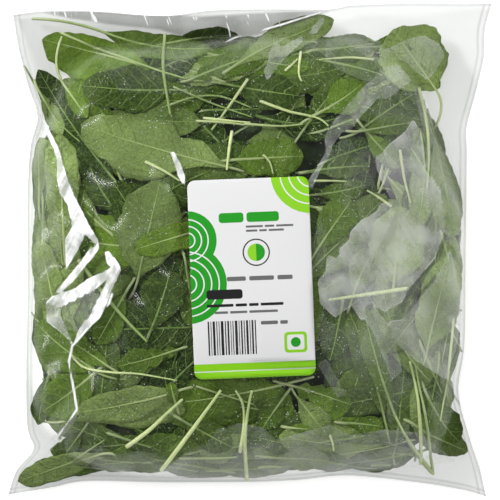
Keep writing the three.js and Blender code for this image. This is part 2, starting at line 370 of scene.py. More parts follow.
class Leaf:
    """One leaf before it is laid: its rows from the stem's cut end to the blade's tip, in plan."""

    def __init__(
        self, rng, stem_end, base, tip, width,
        kind="plain", side=1, tone=None, rows=30, bow=None, lean=0.0, stem_width=None,
    ):
        self.side = side
        self.stem_radius = rng.uniform(0.65, 1.0) if stem_width is None else stem_width / 2
        self.tone = rng.uniform(0, 1) if tone is None else tone
        self.seed = rng.uniform(0, 100)
        stem_end, base, tip = (np.array(p, float) for p in (stem_end, base, tip))
        self.length = np.linalg.norm(tip - base)
        self.bow = rng.normal(0, BOW_SPREAD) if bow is None else bow
        heading = (tip - base) / self.length
        across = np.array([-heading[1], heading[0]])

        line = np.linspace(0, 1, rows)
        self.t = 0.5 * line + 0.5 * np.sin(math.pi / 2 * line)
        arc = (self.bow * self.length * 4 * self.t * (1 - self.t))[:, None]
        blade = base + heading * (self.length * self.t)[:, None] + across * arc
        self.stem_rows = max(4, int(np.linalg.norm(base - stem_end) / 3))
        leave = heading + across * 4 * self.bow
        handle = base - leave * np.linalg.norm(base - stem_end) * 0.5
        s = np.linspace(0, 1, self.stem_rows + 1)[:-1, None]
        stem = stem_end * (1 - s) ** 2 + 2 * handle * s * (1 - s) + base * s**2
        self.spine = np.concatenate([stem, blade])
        tangent = np.gradient(self.spine, axis=0)
        tangent /= np.linalg.norm(tangent, axis=1)[:, None]
        self.normal = np.stack([-tangent[:, 1], tangent[:, 0]], axis=1)

        self.columns = np.linspace(-1, 1, 9 if rows < 40 else 13)
        left = self.half_width(rng, width / 2 * (1 + lean), "belly" if kind == "scalloped" else kind)
        right = self.half_width(rng, width / 2 * (1 - lean), kind)
        stem_half = np.full(self.stem_rows, STEM_HALF)
        self.half = np.stack([np.concatenate([stem_half, side_half]) for side_half in (left, right)])
        self.shape = self.own_shape(rng, width)

    def half_width(self, rng, half, kind):
        """One side's half width along the blade: its outline, a little changed, with a toothed edge."""
        t = self.t
        stations = np.array(OUTLINES[kind])
        along = stations[:, 0] + rng.normal(0, 0.018, len(stations)) * np.sin(math.pi * stations[:, 0])
        out = stations[:, 1] * (1 + rng.normal(0, 0.07, len(stations)))
        full = np.interp(t, np.maximum.accumulate(along), out)
        full[1:-1] = 0.25 * full[:-2] + 0.5 * full[1:-1] + 0.25 * full[2:]
        teeth = rng.integers(7, 12)
        phase = rng.uniform(0, 2 * math.pi)
        bite = TOOTH_SHARE * (0.4 + 0.6 * np.sin(5 * t + 3 * phase) ** 2)
        toothed = bite * np.sin(2 * math.pi * teeth * t + phase + 2 * np.sin(4 * t))
        wavy = WAVE_SHARE * np.sin(11 * t + 2 * phase)
        ripple = (toothed + wavy) * smooth_step(0.1, 0.3, t) * smooth_step(1, 0.94, t)
        return np.maximum(half * (full + ripple), THREAD_HALF)

    def own_shape(self, rng, width):
        """How the leaf bends by itself: cupped or arched across, waved at its edges, curled along."""
        t = np.concatenate([np.zeros(self.stem_rows), self.t])[:, None]
        a = self.columns[None, :]
        on_blade = smooth_step(0, 0.2, t)
        cup = rng.normal(0.1, 1.3) * (width / USUAL_WIDTH)
        valley = rng.normal(0.3, 1.3) * (width / USUAL_WIDTH)
        twist = rng.normal(0, 2.0)
        edge = rng.uniform(0.6, 2.2)
        waves = rng.uniform(2.5, 4.5)
        phase = rng.uniform(0, 2 * math.pi)
        form = cup * a**2 * 2 + valley * np.abs(a) + twist * a * (t - 0.3)
        form = form + edge * np.abs(a) ** 2.5 * np.sin(2 * math.pi * waves * t + phase + 2.2 * (a > 0))
        form = form + rng.normal(0, 2.2) * (t - 0.45) ** 2 * 3
        form = form - 0.5 * np.exp(-((a / 0.12) ** 2)) * (1 - t)
        return form * on_blade

    def half_grid(self):
        """The half width at every row and column: the left one's or the right one's."""
        return np.where(self.columns[None, :] < 0, self.half[0][:, None], self.half[1][:, None])

    def plan(self):
        """Plan positions of every row and column."""
        a = self.columns[None, :, None]
        return self.spine[:, None, :] - self.normal[:, None, :] * a * self.half_grid()[..., None]

    def shift(self, move):
        self.spine = self.spine + move


def smoothed(z):
    """Each height averaged with its neighbours along the rows and columns."""
    rows = np.concatenate([z[:1], z, z[-1:]])
    z = 0.5 * z + 0.25 * (rows[:-2] + rows[2:])
    columns = np.concatenate([z[:, :1], z, z[:, -1:]], axis=1)
    return 0.5 * z + 0.25 * (columns[:, :-2] + columns[:, 2:])


LAYER_GAP = 0.8
LID_GAP = 0.4
LID_REACH = 6
STEM_LIFT = 1.6


class Shell:
    """Leaves laid one on another. Heights are above the core, before they are fitted under the film."""

    def __init__(self):
        self.top = np.zeros_like(FIELD_X)
        self.laid = []

    def lay(self, leaf, stiffness=24, lift=0.0):
        xy = leaf.plan()
        x, y = xy[..., 0], xy[..., 1]
        under = read_field(self.top, x, y) + LAYER_GAP + lift
        z = under.copy()
        for _ in range(stiffness):
            z = np.maximum(smoothed(z), under)
        z = z + leaf.shape - min(0, leaf.shape.min())
        self.mark(x, y, z + lift)
        self.laid.append((leaf, x, y, z))

    def mark(self, x, y, z):
        """Raises the shell's top to the new leaf, at its corners and between them."""
        for u in (0, 1 / 3, 2 / 3, 1):
            for v in (0, 1 / 3, 2 / 3, 1):
                px, py, pz = (
                    (g[:-1, :-1] * (1 - u) + g[1:, :-1] * u) * (1 - v)
                    + (g[:-1, 1:] * (1 - u) + g[1:, 1:] * u) * v
                    for g in (x, y, z)
                )
                at = [np.rint((p + FIELD_HALF) / FIELD_STEP).astype(int) for p in (px, py)]
                np.maximum.at(self.top, tuple(np.clip(at, 0, FIELD_CELLS - 1)), pz)

    def lid(self):
        """A smooth surface that nothing laid here stands above."""
        return spread(spread(self.top, 2 * LID_REACH, highest), LID_REACH, average) + LID_GAP


def from_photo(point):
    """The place in millimetres where the film's top shows at a point of the photograph, in its pixels."""
    aside = np.array([point[0] - PHOTO_MIDDLE[0], PHOTO_MIDDLE[1] - point[1]]) * MM_PER_PIXEL
    height = LEAF_PLANE
    for _ in range(4):
        place = aside * (CAMERA_HEIGHT - height) / (CAMERA_HEIGHT - EDGE_PLANE)
        height = float(read_field(FILM_TOP, place[0], place[1]))
    return place


def photo_path(pixels):
    return [tuple(from_photo(pixel)) for pixel in pixels]


# The leaves that show, from the lowest to the highest. Each row has the blade's tip and base, the stem's
# cut end and the blade's width, in the photograph's pixels, then its tone from dark to light. Where they
# differ from the usual, the outline follows, the side that shows (-1 for the lower one), the bow and the
# lean, which above 0 makes the half on the left, seen from the base, the wider one.
SHOWN_LEAVES = [
    # The first three rows are nearly black leaves laid in dark gaps: painted shade.
    ((86, 156), (116, 212), (124, 228), 30, 0.04, "round"),
    ((374, 144), (330, 160), (318, 166), 28, 0.03, "round"),
    ((264, 108), (208, 110), (198, 112), 20, 0.03),
    ((26, 474), (108, 476), (128, 474), 22, 0.5),
    ((50, 450), (122, 462), (140, 466), 28, 0.35, "round"),
    ((96, 466), (188, 470), (214, 470), 24, 0.5, "strap"),
    ((146, 458), (228, 472), (244, 473), 22, 0.4),
    ((292, 470), (214, 474), (200, 472), 20, 0.45, "strap"),
    ((300, 462), (366, 474), (380, 474), 24, 0.35),
    ((350, 470), (424, 458), (440, 452), 28, 0.3, "round"),
    ((472, 426), (446, 366), (440, 345), 28, 0.6, "plain", -1),
    ((468, 452), (412, 424), (400, 420), 30, 0.55, "round", -1),
    ((465, 216), (446, 146), (440, 130), 28, 0.75, "plain", -1),
    ((460, 292), (448, 236), (444, 225), 24, 0.6, "plain", -1),
    ((456, 326), (450, 392), (446, 405), 22, 0.45),
    ((240, 38), (168, 44), (150, 48), 22, 0.35),
    ((248, 44), (310, 42), (322, 46), 26, 0.3, "round"),
    ((420, 40), (360, 48), (345, 52), 22, 0.5),
    ((440, 88), (400, 62), (390, 56), 24, 0.45),
    ((38, 70), (112, 178), (124, 196), 34, 0.05, "strap"),
    ((208, 43), (102, 27), (29, 13), 30, 0.58, "strap", 1, -0.05),
    ((42, 40), (150, 68), (170, 76), 48, 0.98, "round", 1, None, 0.3),
    ((82, 86), (172, 90), (200, 92), 46, 0.12, "round"),
    ((266, 52), (190, 80), (172, 80), 34, 0.48, "lobed"),
    ((300, 96), (225, 84), (190, 84), 36, 0.15),
    ((386, 76), (330, 62), (310, 60), 24, 0.5),
    ((374, 44), (316, 50), (300, 60), 30, 0.35, "round"),
    ((334, 20), (232, 68), (206, 82), 34, 0.6, "plain", -1, 0.03),
    ((418, 92), (364, 128), (340, 138), 42, 0.25),
    ((345, 78), (305, 128), (290, 150), 26, 0.2),
    ((393, 30), (436, 90), (434, 130), 74, 1.0, "round", -1, 0.0),
    ((362, 84), (319, 113), (300, 124), 36, 0.75),
    ((400, 168), (364, 128), (352, 112), 22, 0.6),
    ((416, 122), (362, 131), (338, 128), 20, 0.6),
    ((444, 158), (422, 104), (418, 86), 18, 0.45, "plain", -1),
    ((455, 238), (436, 130), (430, 108), 34, 0.7, "plain", -1),
    ((366, 185), (315, 195), (300, 200), 24, 0.4),
    ((371, 166), (308, 172), (290, 174), 22, 0.25),
    ((304, 156), (236, 160), (205, 166), 42, 0.7, "round"),
    ((352, 200), (316, 252), (300, 290), 36, 0.65),
    ((56, 131), (32, 86), (28, 76), 17, 0.75, "plain", -1),
    ((36, 146), (36, 206), (40, 230), 17, 0.6, "plain", -1),
    ((112, 182), (146, 240), (160, 262), 36, 0.1, "round"),
    ((60, 134), (64, 246), (67, 284), 36, 0.95, "strap", -1, 0.0),
    ((81, 125), (230, 168), (256, 176), 64, 0.66, "scalloped", -1, 0.015, 0.06),
    ((160, 180), (138, 278), (128, 300), 62, 0.42, "round", -1, 0.0),
    ((134, 250), (222, 224), (240, 218), 28, 0.95, "strap", 1, 0.0),
    ((198, 330), (186, 266), (176, 240), 30, 0.4),
    ((38, 240), (58, 322), (66, 350), 30, 0.87, "strap", -1),
    ((32, 430), (44, 376), (50, 350), 20, 0.4),
    ((42, 412), (94, 374), (112, 362), 42, 0.72, "round"),
    ((36, 324), (94, 371), (150, 376), 48, 0.7, "round"),
    ((170, 270), (150, 332), (140, 360), 46, 0.12),
    ((96, 345), (126, 292), (140, 270), 32, 0.55),
    ((73, 343), (112, 370), (126, 378), 17, 0.8),
    ((118, 367), (182, 349), (194, 346), 27, 0.5, "lobed"),
    ((60, 462), (82, 432), (92, 415), 22, 0.3),
    ((75, 413), (180, 391), (200, 388), 33, 0.82, "strap", -1),
    ((170, 383), (177, 410), (180, 420), 12, 0.85),
    ((15, 485), (97, 458), (122, 462), 26, 1.0, "strap", -1, 0.0),
    ((330, 362), (342, 308), (345, 290), 34, 0.2, "round"),
    ((376, 248), (352, 300), (345, 330), 30, 0.6, "plain", -1),
    ((400, 206), (394, 284), (392, 310), 53, 0.95, "round", -1),
    ((452, 257), (430, 352), (420, 392), 44, 0.9, "round", -1),
    ((430, 420), (438, 372), (440, 345), 30, 0.2),
    ((350, 314), (384, 416), (395, 466), 30, 0.45, "strap"),
    ((364, 307), (393, 410), (432, 474), 24, 0.6, "strap"),
    ((352, 406), (293, 387), (262, 380), 36, 0.8, "lobed", 1, None, -0.3),
    ((262, 430), (286, 396), (292, 386), 26, 0.4),
    ((328, 436), (297, 398), (290, 384), 27, 0.65, "plain", -1),
    ((310, 430), (286, 428), (278, 427), 9, 1.0),
    ((384, 428), (346, 424), (325, 420), 20, 0.5),
    ((468, 450), (436, 404), (430, 380), 34, 0.5),
    ((330, 462), (270, 458), (240, 452), 26, 0.5, "plain", -1),
    ((232, 448), (180, 420), (160, 408), 32, 0.35),
    ((87, 118), (63, 84), (62, 37), 17, 1.0),
]

# The stalks that show on top. Each row has its width, its tone from dark to light and its path. Width and
# path are in the photograph's pixels.
SHOWN_STEMS = [
    (3.0, 0.35, [(60, 33), (100, 50), (150, 68), (182, 78), (200, 82)]),
    (4.0, 0.2, [(165, 34), (163, 60), (165, 84), (172, 126)]),
    (2.4, 0.1, [(24, 66), (55, 118), (89, 150)]),
    (3.4, 0.7, [(145, 162), (165, 172), (185, 185)]),
    (3.2, 0.7, [(248, 79), (226, 110), (206, 137)]),
    (2.6, 0.2, [(167, 106), (195, 97), (223, 97), (262, 112)]),
    (2.4, 0.15, [(173, 87), (214, 104), (262, 120)]),
    (3.0, 0.6, [(196, 121), (230, 123), (262, 127)]),
    (2.8, 0.9, [(203, 118), (232, 121), (258, 123)]),
    (3.6, 1.0, [(232, 131), (229, 150), (226, 177)]),
    (2.8, 0.7, [(374, 60), (345, 58), (311, 61)]),
    (3.2, 0.9, [(301, 52), (299, 74), (305, 86)]),
    (2.8, 0.8, [(285, 71), (292, 65), (300, 57)]),
    (3.4, 0.7, [(260, 101), (288, 111), (320, 119), (335, 134)]),
    (2.8, 0.5, [(244, 124), (280, 126), (312, 123)]),
    (2.6, 0.6, [(263, 155), (270, 163), (274, 178)]),
    (2.8, 0.6, [(314, 181), (332, 181), (352, 182)]),
    (3.2, 0.8, [(392, 207), (378, 197), (363, 188)]),
    (3.2, 0.8, [(400, 150), (405, 180), (413, 212)]),
    (3.4, 0.7, [(419, 88), (427, 125), (429, 160), (426, 202)]),
    (4.6, 0.2, [(78, 260), (106, 298), (130, 325), (156, 351)]),
    (2.6, 0.9, [(70, 354), (84, 368), (111, 373), (141, 375), (190, 384)]),
    (4.6, 1.0, [(409, 289), (360, 296), (318, 302)]),
    (2.4, 0.3, [(69, 464), (90, 450), (110, 437)]),
    (2.6, 0.5, [(258, 468), (272, 467), (286, 468)]),
    (2.8, 0.9, [(454, 319), (451, 352), (446, 390), (438, 434)]),
    (4.0, 0.8, [(421, 465), (420, 420), (416, 388), (407, 350)]),
    (3.2, 0.4, [(433, 472), (426, 418), (418, 380), (414, 354)]),
    (3.4, 0.6, [(434, 475), (407, 438), (392, 408)]),
    (2.8, 0.4, [(179, 459), (212, 459), (246, 457)]),
    (2.4, 0.3, [(196, 387), (230, 398), (262, 408)]),
    (3.8, 0.9, [(240, 453), (244, 425), (242, 403), (230, 384)]),
    (4.2, 0.9, [(247, 481), (245, 440), (249, 405), (255, 380)]),
    (4.8, 1.0, [(126, 448), (149, 431), (168, 413), (190, 393)]),
    (4.8, 1.0, [(161, 471), (194, 428), (228, 381)]),
    (2.8, 1.0, [(330, 436), (333, 445), (334, 454)]),
    (2.4, 0.5, [(371, 466), (382, 466), (394, 466)]),
]

# Dark gaps between the leaves that show, whose shade is painted onto the leaves round them: their middles
# and radii in the photograph's pixels
SHOWN_GAPS = [
    (97, 172, 15), (116, 172, 8), (262, 106, 9), (222, 113, 8), (200, 112, 6), (358, 150, 11),
    (296, 172, 5), (72, 82, 5), (112, 440, 15), (100, 455, 8), (205, 352, 8), (176, 330, 6),
    (378, 436, 7), (318, 352, 6),
]


# Sizes of the leaves that are scattered through the heap and along its rim, in millimetres. Widths are
# shares of the length.
HEAP_SPREAD = 114
CORNER_STRETCH = 0.25
RIM_NARROWING = 0.7
LEAF_LENGTHS = (50, 86)
LEAF_WIDTHS = (0.32, 0.46)
STEM_LENGTHS = (5, 22)
RIM_SHARE = 0.8
RIM_SPREAD = (94, 119)
RIM_LENGTHS = (42, 70)
RIM_WIDTHS = (0.26, 0.36)
RIM_STEM_LENGTHS = (5, 18)
HEAP_LIMIT = 0.985
RIM_LIMIT = 1.0
WELD_SHARE = 0.007
HEAP_STEP = 0.05
WELD_STEP = 0.015
MOST_STEPS = 40


def direction(turn):
    return np.array([math.cos(turn), math.sin(turn)])


def moved_in(leaf, step, fits):
    """Moves the leaf towards the middle until all of it fits."""
    for _ in range(MOST_STEPS):
        xy = leaf.plan()
        if fits(xy[..., 0], xy[..., 1]):
            return leaf
        leaf.shift(-step * leaf.spine.mean(axis=0))
    return leaf


def inside_heap(leaf, limit):
    return moved_in(leaf, HEAP_STEP, lambda x, y: read_field(REACH, x, y).max() < limit)


def within_welds(x, y):
    across, along = plan_shares(x, y)
    return min(across.min(), along.min(), 1 - across.max(), 1 - along.max()) > WELD_SHARE


def inside_bag(leaf):
    return moved_in(leaf, WELD_STEP, within_welds)


def scattered_leaf(rng, index, count):
    """A leaf of the heap. They spread evenly by the golden angle, and near the rim they lie along it."""
    radius = math.sqrt((index + 0.5) / count)
    angle = index * GOLDEN_ANGLE
    middle = HEAP_SPREAD * radius * direction(angle)
    middle *= 1 + CORNER_STRETCH * abs(math.sin(2 * angle)) * radius
    turn = rng.uniform(0, 2 * math.pi)
    length = rng.uniform(*LEAF_LENGTHS)
    width = length * rng.uniform(*LEAF_WIDTHS)
    if radius > RIM_SHARE:
        turn = angle + math.pi / 2 * rng.choice([-1, 1]) + rng.normal(0, 0.3)
        width *= RIM_NARROWING
    heading = direction(turn)
    base = middle - heading * length / 2
    end = base - direction(turn + rng.normal(0, 0.25)) * rng.uniform(*STEM_LENGTHS)
    # Tones lean dark: partly each leaf's own tone, partly painted shade for leaves deep in the heap
    leaf = Leaf(
        rng, end, base, base + heading * length, width,
        kind=rng.choice(["plain", "plain", "round", "lobed", "lobed", "strap"]),
        side=1 if rng.uniform() < 0.6 else -1, tone=0.85 * rng.uniform() ** 1.4,
    )
    return inside_heap(leaf, HEAP_LIMIT)


def gap_share(leaf):
    """How near the leaf comes to the middle of a gap: 0 right in it, 1 on its rim and more outside."""
    xy = leaf.plan()
    return min(
        np.linalg.norm(xy - from_photo((x, y)), axis=-1).min() / (radius * MM_PER_PIXEL)
        for x, y, radius in SHOWN_GAPS
    )


def rim_leaf(rng, index, count):
    """A leaf pressed along the bag's side, where the two films come together."""
    angle = 2 * math.pi * (index + rng.uniform(0, 0.6)) / count
    corner = max(abs(math.cos(angle)), abs(math.sin(angle)))
    middle = rng.uniform(*RIM_SPREAD) / corner**0.75 * direction(angle)
    level = abs(middle[0]) < abs(middle[1])
    turn = (0 if level else math.pi / 2) + rng.normal(0, 0.28) + math.pi * rng.integers(0, 2)
    length = rng.uniform(*RIM_LENGTHS)
    heading = direction(turn)
    base = middle - heading * length / 2
    end = base - heading * rng.uniform(*RIM_STEM_LENGTHS)
    leaf = Leaf(
        rng, end, base, base + heading * length, length * rng.uniform(*RIM_WIDTHS),
        kind=rng.choice(["plain", "round", "lobed", "strap"]),
        side=1 if rng.uniform() < 0.5 else -1,
    )
    return inside_heap(leaf, RIM_LIMIT)


def placed_leaf(tip, base, end, width, tone, kind="plain", side=1, bow=None, lean=0.0):
    """One of the leaves that show, from its row."""
    rng = np.random.default_rng([SEED, *tip, *base])
    usual_bow = rng.normal(0, 0.02)
    leaf = Leaf(
        rng, from_photo(end), from_photo(base), from_photo(tip), width * MM_PER_PIXEL,
        kind=kind, side=side, tone=tone, rows=50, bow=usual_bow if bow is None else bow, lean=lean,
    )
    return inside_bag(leaf)


def placed_stem(width, tone, pixels):
    """A stalk that shows without its blade: a leaf whose blade is a mere thread."""
    rng = np.random.default_rng([SEED, *pixels[0]])
    path = [from_photo(pixel) for pixel in pixels]
    first, last = path[0], path[-1]
    stem = Leaf(
        rng, first, first + (last - first) * 0.9, last, 1.0,
        tone=tone, bow=0.0, stem_width=width * MM_PER_PIXEL,
    )
    curve = even_curve(path)
    stem.spine = curve[np.linspace(0, len(curve) - 1, len(stem.spine)).astype(int)]
    return stem


# Meshes

def new_mesh(name, vertices, faces, attributes=()):
    """A mesh object from millimetres, smooth shaded, with named vectors for its points."""
    mesh = bpy.data.meshes.new(name)
    mesh.vertices.add(len(vertices))
    mesh.vertices.foreach_set("co", (np.asarray(vertices) * MM).astype(np.float32).ravel())
    faces = np.asarray(faces, np.int32)
    mesh.loops.add(faces.size)
    mesh.loops.foreach_set("vertex_index", faces.ravel())
    mesh.polygons.add(len(faces))
    mesh.polygons.foreach_set("loop_start", np.arange(len(faces), dtype=np.int32) * faces.shape[1])
    mesh.update(calc_edges=True)
    mesh.polygons.foreach_set("use_smooth", np.ones(len(faces), bool))
    for key, values in attributes:
        attribute = mesh.attributes.new(key, "FLOAT_VECTOR", "POINT")
        attribute.data.foreach_set("vector", np.asarray(values, np.float32).ravel())
    mesh.validate()
    piece = bpy.data.objects.new(name, mesh)
    bpy.context.scene.collection.objects.link(piece)
    return piece


def grid_faces(rows, columns, start=0):
    i, j = np.meshgrid(np.arange(rows - 1), np.arange(columns - 1), indexing="ij")
    a = (start + i * columns + j).ravel()
    return np.stack([a, a + columns, a + columns + 1, a + 1], axis=1)


def sheet_solid(upper, lower):
    """Vertices and faces of a closed solid between two grids of points of one size."""
    rows, columns = upper.shape[:2]
    count = rows * columns
    ids = np.arange(count).reshape(rows, columns)
    rim = np.concatenate([ids[0], ids[1:, -1], ids[-1, -2::-1], ids[-2:0:-1, 0]])
    ahead = np.roll(rim, -1)
    walls = np.stack([rim, ahead, ahead + count, rim + count], axis=1)
    faces = np.concatenate([grid_faces(rows, columns), grid_faces(rows, columns, count)[:, ::-1], walls])
    return np.concatenate([upper.reshape(-1, 3), lower.reshape(-1, 3)]), faces


def tube(path, radius, sides):
    """Vertices, faces and places along it of a closed round tube with rounded ends."""
    tangent = np.gradient(path, axis=0)
    tangent /= np.linalg.norm(tangent, axis=1)[:, None] + 1e-9
    level = np.cross(tangent, [0, 0, 1.0])
    level /= np.linalg.norm(level, axis=1)[:, None] + 1e-9
    upright = np.cross(level, tangent)
    angle = np.linspace(0, 2 * math.pi, sides, endpoint=False)
    angle = angle[None, :, None]
    ring = np.cos(angle) * level[:, None] + np.sin(angle) * upright[:, None]
    skin = path[:, None] + ring * radius[:, None, None]
    rows = len(path)
    i, j = np.meshgrid(np.arange(rows - 1), np.arange(sides), indexing="ij")
    a, b = (i * sides + j).ravel(), (i * sides + (j + 1) % sides).ravel()
    walls = np.stack([a, b, b + sides, a + sides], axis=1)
    first, last = rows * sides, rows * sides + 1
    j = np.arange(sides)
    k = (j + 1) % sides
    caps = np.concatenate([
        np.stack([k, j, np.full(sides, first)], axis=1),
        np.stack([j + (rows - 1) * sides, k + (rows - 1) * sides, np.full(sides, last)], axis=1),
    ])
    walls = np.concatenate([walls[:, [0, 1, 2]], walls[:, [0, 2, 3]]])
    points = np.concatenate([skin.reshape(-1, 3), path[:1], path[-1:]])
    place = np.linspace(0, 1, rows)
    places = np.concatenate([np.repeat(place, sides), [0, 1]])
    return points, np.concatenate([walls, caps]), places


class Gathered:
    """Meshes of one kind, gathered to be one piece."""

    def __init__(self, *keys):
        self.vertices = []
        self.faces = []
        self.count = 0
        self.values = {key: [] for key in keys}

    def add(self, vertices, faces, **values):
        self.vertices.append(vertices)
        self.faces.append(faces + self.count)
        self.count += len(vertices)
        for key, value in values.items():
            self.values[key].append(value)

    def piece(self, name):
        attributes = [(key, np.concatenate(value)) for key, value in self.values.items()]
        return new_mesh(name, np.concatenate(self.vertices), np.concatenate(self.faces), attributes)


# The heap: a core, and a shell of leaves over and under it

CORE_REACH = 0.93
CORE_TOP_SHARE = 0.8
CORE_RIM_SHARE = 0.45
CORE_BOTTOM_SHARE = 0.15
CORE_CUTS = 70
CORE_ROUGHNESS = 0.6
CORE_TOP_GAP = 0.1
CORE_BOTTOM_GAP = 0.08
CLEARANCE = 0.45
LEAF_THICKNESS = 0.3
STEM_DIVE = 0.8
STEM_END_SHARE = 0.86
BLADED_TAPER = 0.75
BARE_TAPER = 0.32
RIB_PROUD = 0.35
RIB_SUNK = -0.55
BLADED_STEM_TONE = 0.45


def core_share(depth):
    """How high up in the bag the upper leaves begin: close under the film where the heap is deep."""
    return CORE_RIM_SHARE + (CORE_TOP_SHARE - CORE_RIM_SHARE) * smooth_step(2, 26, depth)


class Fit:
    """Turns a shell's own heights into heights in the bag, on the core's upper or lower side."""

    def __init__(self, shell, up):
        depth = FILM_TOP - FILM_BOTTOM
        self.sign = 1 if up else -1
        self.core = FILM_BOTTOM + depth * (core_share(depth) if up else CORE_BOTTOM_SHARE)
        film = FILM_TOP - CLEARANCE if up else FILM_BOTTOM + CLEARANCE
        self.scale = np.maximum(self.sign * (film - self.core), 0) / shell.lid()

    def height(self, x, y, z):
        return read_field(self.core, x, y) + self.sign * z * read_field(self.scale, x, y)


def straightened(z):
    """The heights along a stalk that bends only slowly and still rests on most of what is under it."""
    even = z.copy()
    for _ in range(60):
        ahead = np.concatenate([even[1:], 2 * even[-1:] - even[-2:-1]])
        behind = np.concatenate([2 * even[:1] - even[1:2], even[:-1]])
        even = 0.5 * even + 0.25 * (ahead + behind)
    return even + 0.7 * max(0, (z - even).max())


def add_blade(blades, leaf, blade, up_side):
    """A thin solid blade from its rows and columns of points. up_side is 1 with its upper side up."""
    rows, columns = blade.shape[:2]
    count = rows * columns
    vertices, faces = sheet_solid(blade, blade - [0, 0, LEAF_THICKNESS])
    along = np.repeat((leaf.t * leaf.length)[:, None], columns, axis=1)
    off = leaf.columns[None, :] * leaf.half_grid()[leaf.stem_rows:]
    share = np.repeat(leaf.t[:, None], columns, axis=1)
    place = np.stack([along, off, share], axis=-1).reshape(-1, 3)
    looks = np.tile(np.array([leaf.tone, leaf.seed, 0]), (2 * count, 1))
    looks[:count, 2] = 0.5 + 0.5 * up_side
    looks[count:, 2] = 0.5 - 0.5 * up_side
    blades.add(vertices, faces, blade=np.concatenate([place, place]), look=looks)


def add_stem(stems, fit, leaf, path, bladed):
    """A tapered stem along the path, within the films: a bladed one runs on as the blade's midrib."""
    share = np.linspace(0, 1, len(path))
    on_blade = smooth_step(leaf.stem_rows - 3, len(path), np.arange(len(path)))
    taper = BLADED_TAPER if bladed else BARE_TAPER
    radius = leaf.stem_radius * (1 - taper * on_blade) * (0.95 - 0.12 * share)
    radius[0] *= 0.8
    film_above = read_field(FILM_TOP, path[:, 0], path[:, 1])
    film_below = read_field(FILM_BOTTOM, path[:, 0], path[:, 1])
    if bladed:
        proud = RIB_PROUD if leaf.side * fit.sign < 0 else RIB_SUNK
        ride = np.minimum(radius, read_field(fit.scale, path[:, 0], path[:, 1]) * 2)
        path[:, 2] += on_blade * radius * proud + (1 - on_blade) * (ride - radius) * 0.5
    else:
        path[:, 2] = np.minimum(straightened(path[:, 2]), film_above - CLEARANCE - radius)
    path[:, 2] = np.maximum(path[:, 2], np.minimum(film_below + radius, (film_below + film_above) / 2))
    vertices, faces, places = tube(path, radius, 8 if len(leaf.t) > 30 or not bladed else 5)
    even = np.ones(places.size)
    tone = leaf.tone * (BLADED_STEM_TONE if bladed else 1)
    stems.add(vertices, faces, look=np.stack([places * share.size, tone * even, leaf.seed * even], axis=1))


def add_leaf(blades, stems, fit, laid):
    """Turns one laid leaf into its blade, where it has one, and its stem."""
    leaf, x, y, z = laid
    bladed = leaf.half.max() > 1
    if bladed:
        toward_cut = np.linspace(1, 0, leaf.stem_rows)[:, None]
        z = z.copy()
        z[:leaf.stem_rows] *= 1 - STEM_DIVE * smooth_step(0, 0.8, toward_cut)
    grid = np.stack([x, y, fit.height(x, y, z)], axis=-1)
    blade = grid[leaf.stem_rows:]
    if bladed:
        add_blade(blades, leaf, blade, leaf.side * fit.sign)
    stem_end = leaf.stem_rows + int(len(blade) * STEM_END_SHARE)
    add_stem(stems, fit, leaf, grid[:stem_end, grid.shape[1] // 2].copy(), bladed)


UPPER_LEAVES = 118
LOWER_LEAVES = 88
RIM_LEAVES = 64
LEAF_ORDER_STEP = 37
RIM_STIFFNESS = 10
SHOWN_STIFFNESS = 36
STEM_STIFFNESS = 50
GAP_PAINTED_SHADE_REACH = 1.2
GAP_HOLE = 0.25


def scattered_leaves(rng, count):
    for index in range(count):
        yield scattered_leaf(rng, index * LEAF_ORDER_STEP % count, count)


def lay_rim(rng, shell):
    for index in range(RIM_LEAVES):
        shell.lay(rim_leaf(rng, index, RIM_LEAVES), stiffness=RIM_STIFFNESS)


def upper_hidden(rng, shell):
    """The upper shell's leaves that lie behind the shown ones. Those near a shown gap are painted nearly
    black as its shade, and those in its middle are left out.
    """
    for leaf in scattered_leaves(rng, UPPER_LEAVES):
        near = gap_share(leaf)
        if near < GAP_PAINTED_SHADE_REACH:
            # Painted shade: the leaf takes the darkest tone, upper side up
            leaf.tone = 0.0
            leaf.side = 1
        if near > GAP_HOLE:
            shell.lay(leaf)
    lay_rim(rng, shell)


def upper_shown(shell):
    """The leaves and stalks that the photograph shows."""
    for row in SHOWN_LEAVES:
        shell.lay(placed_leaf(*row), stiffness=SHOWN_STIFFNESS)
    for row in SHOWN_STEMS:
        stem = placed_stem(*row)
        shell.lay(stem, stiffness=STEM_STIFFNESS, lift=STEM_LIFT * stem.stem_radius)


def make_heap():
    """The pieces of the heap: three of blades, one of all stems, and the core."""
    rng = np.random.default_rng(SEED)
    upper, lower = Shell(), Shell()
    upper_hidden(rng, upper)
    hidden = len(upper.laid)
    upper_shown(upper)
    for leaf in scattered_leaves(rng, LOWER_LEAVES):
        lower.lay(leaf)
    lay_rim(rng, lower)
    upper_fit, lower_fit = Fit(upper, True), Fit(lower, False)
    groups = [
        ("leaves_front", upper_fit, upper.laid[hidden:]),
        ("leaves_middle", upper_fit, upper.laid[:hidden]),
        ("leaves_back", lower_fit, lower.laid),
    ]
    stems = Gathered("look")
    pieces = []
    for name, fit, laid in groups:
        blades = Gathered("blade", "look")
        for one in laid:
            add_leaf(blades, stems, fit, one)
        pieces.append(blades.piece(name))
    return [*pieces, stems.piece("stems"), make_core()]


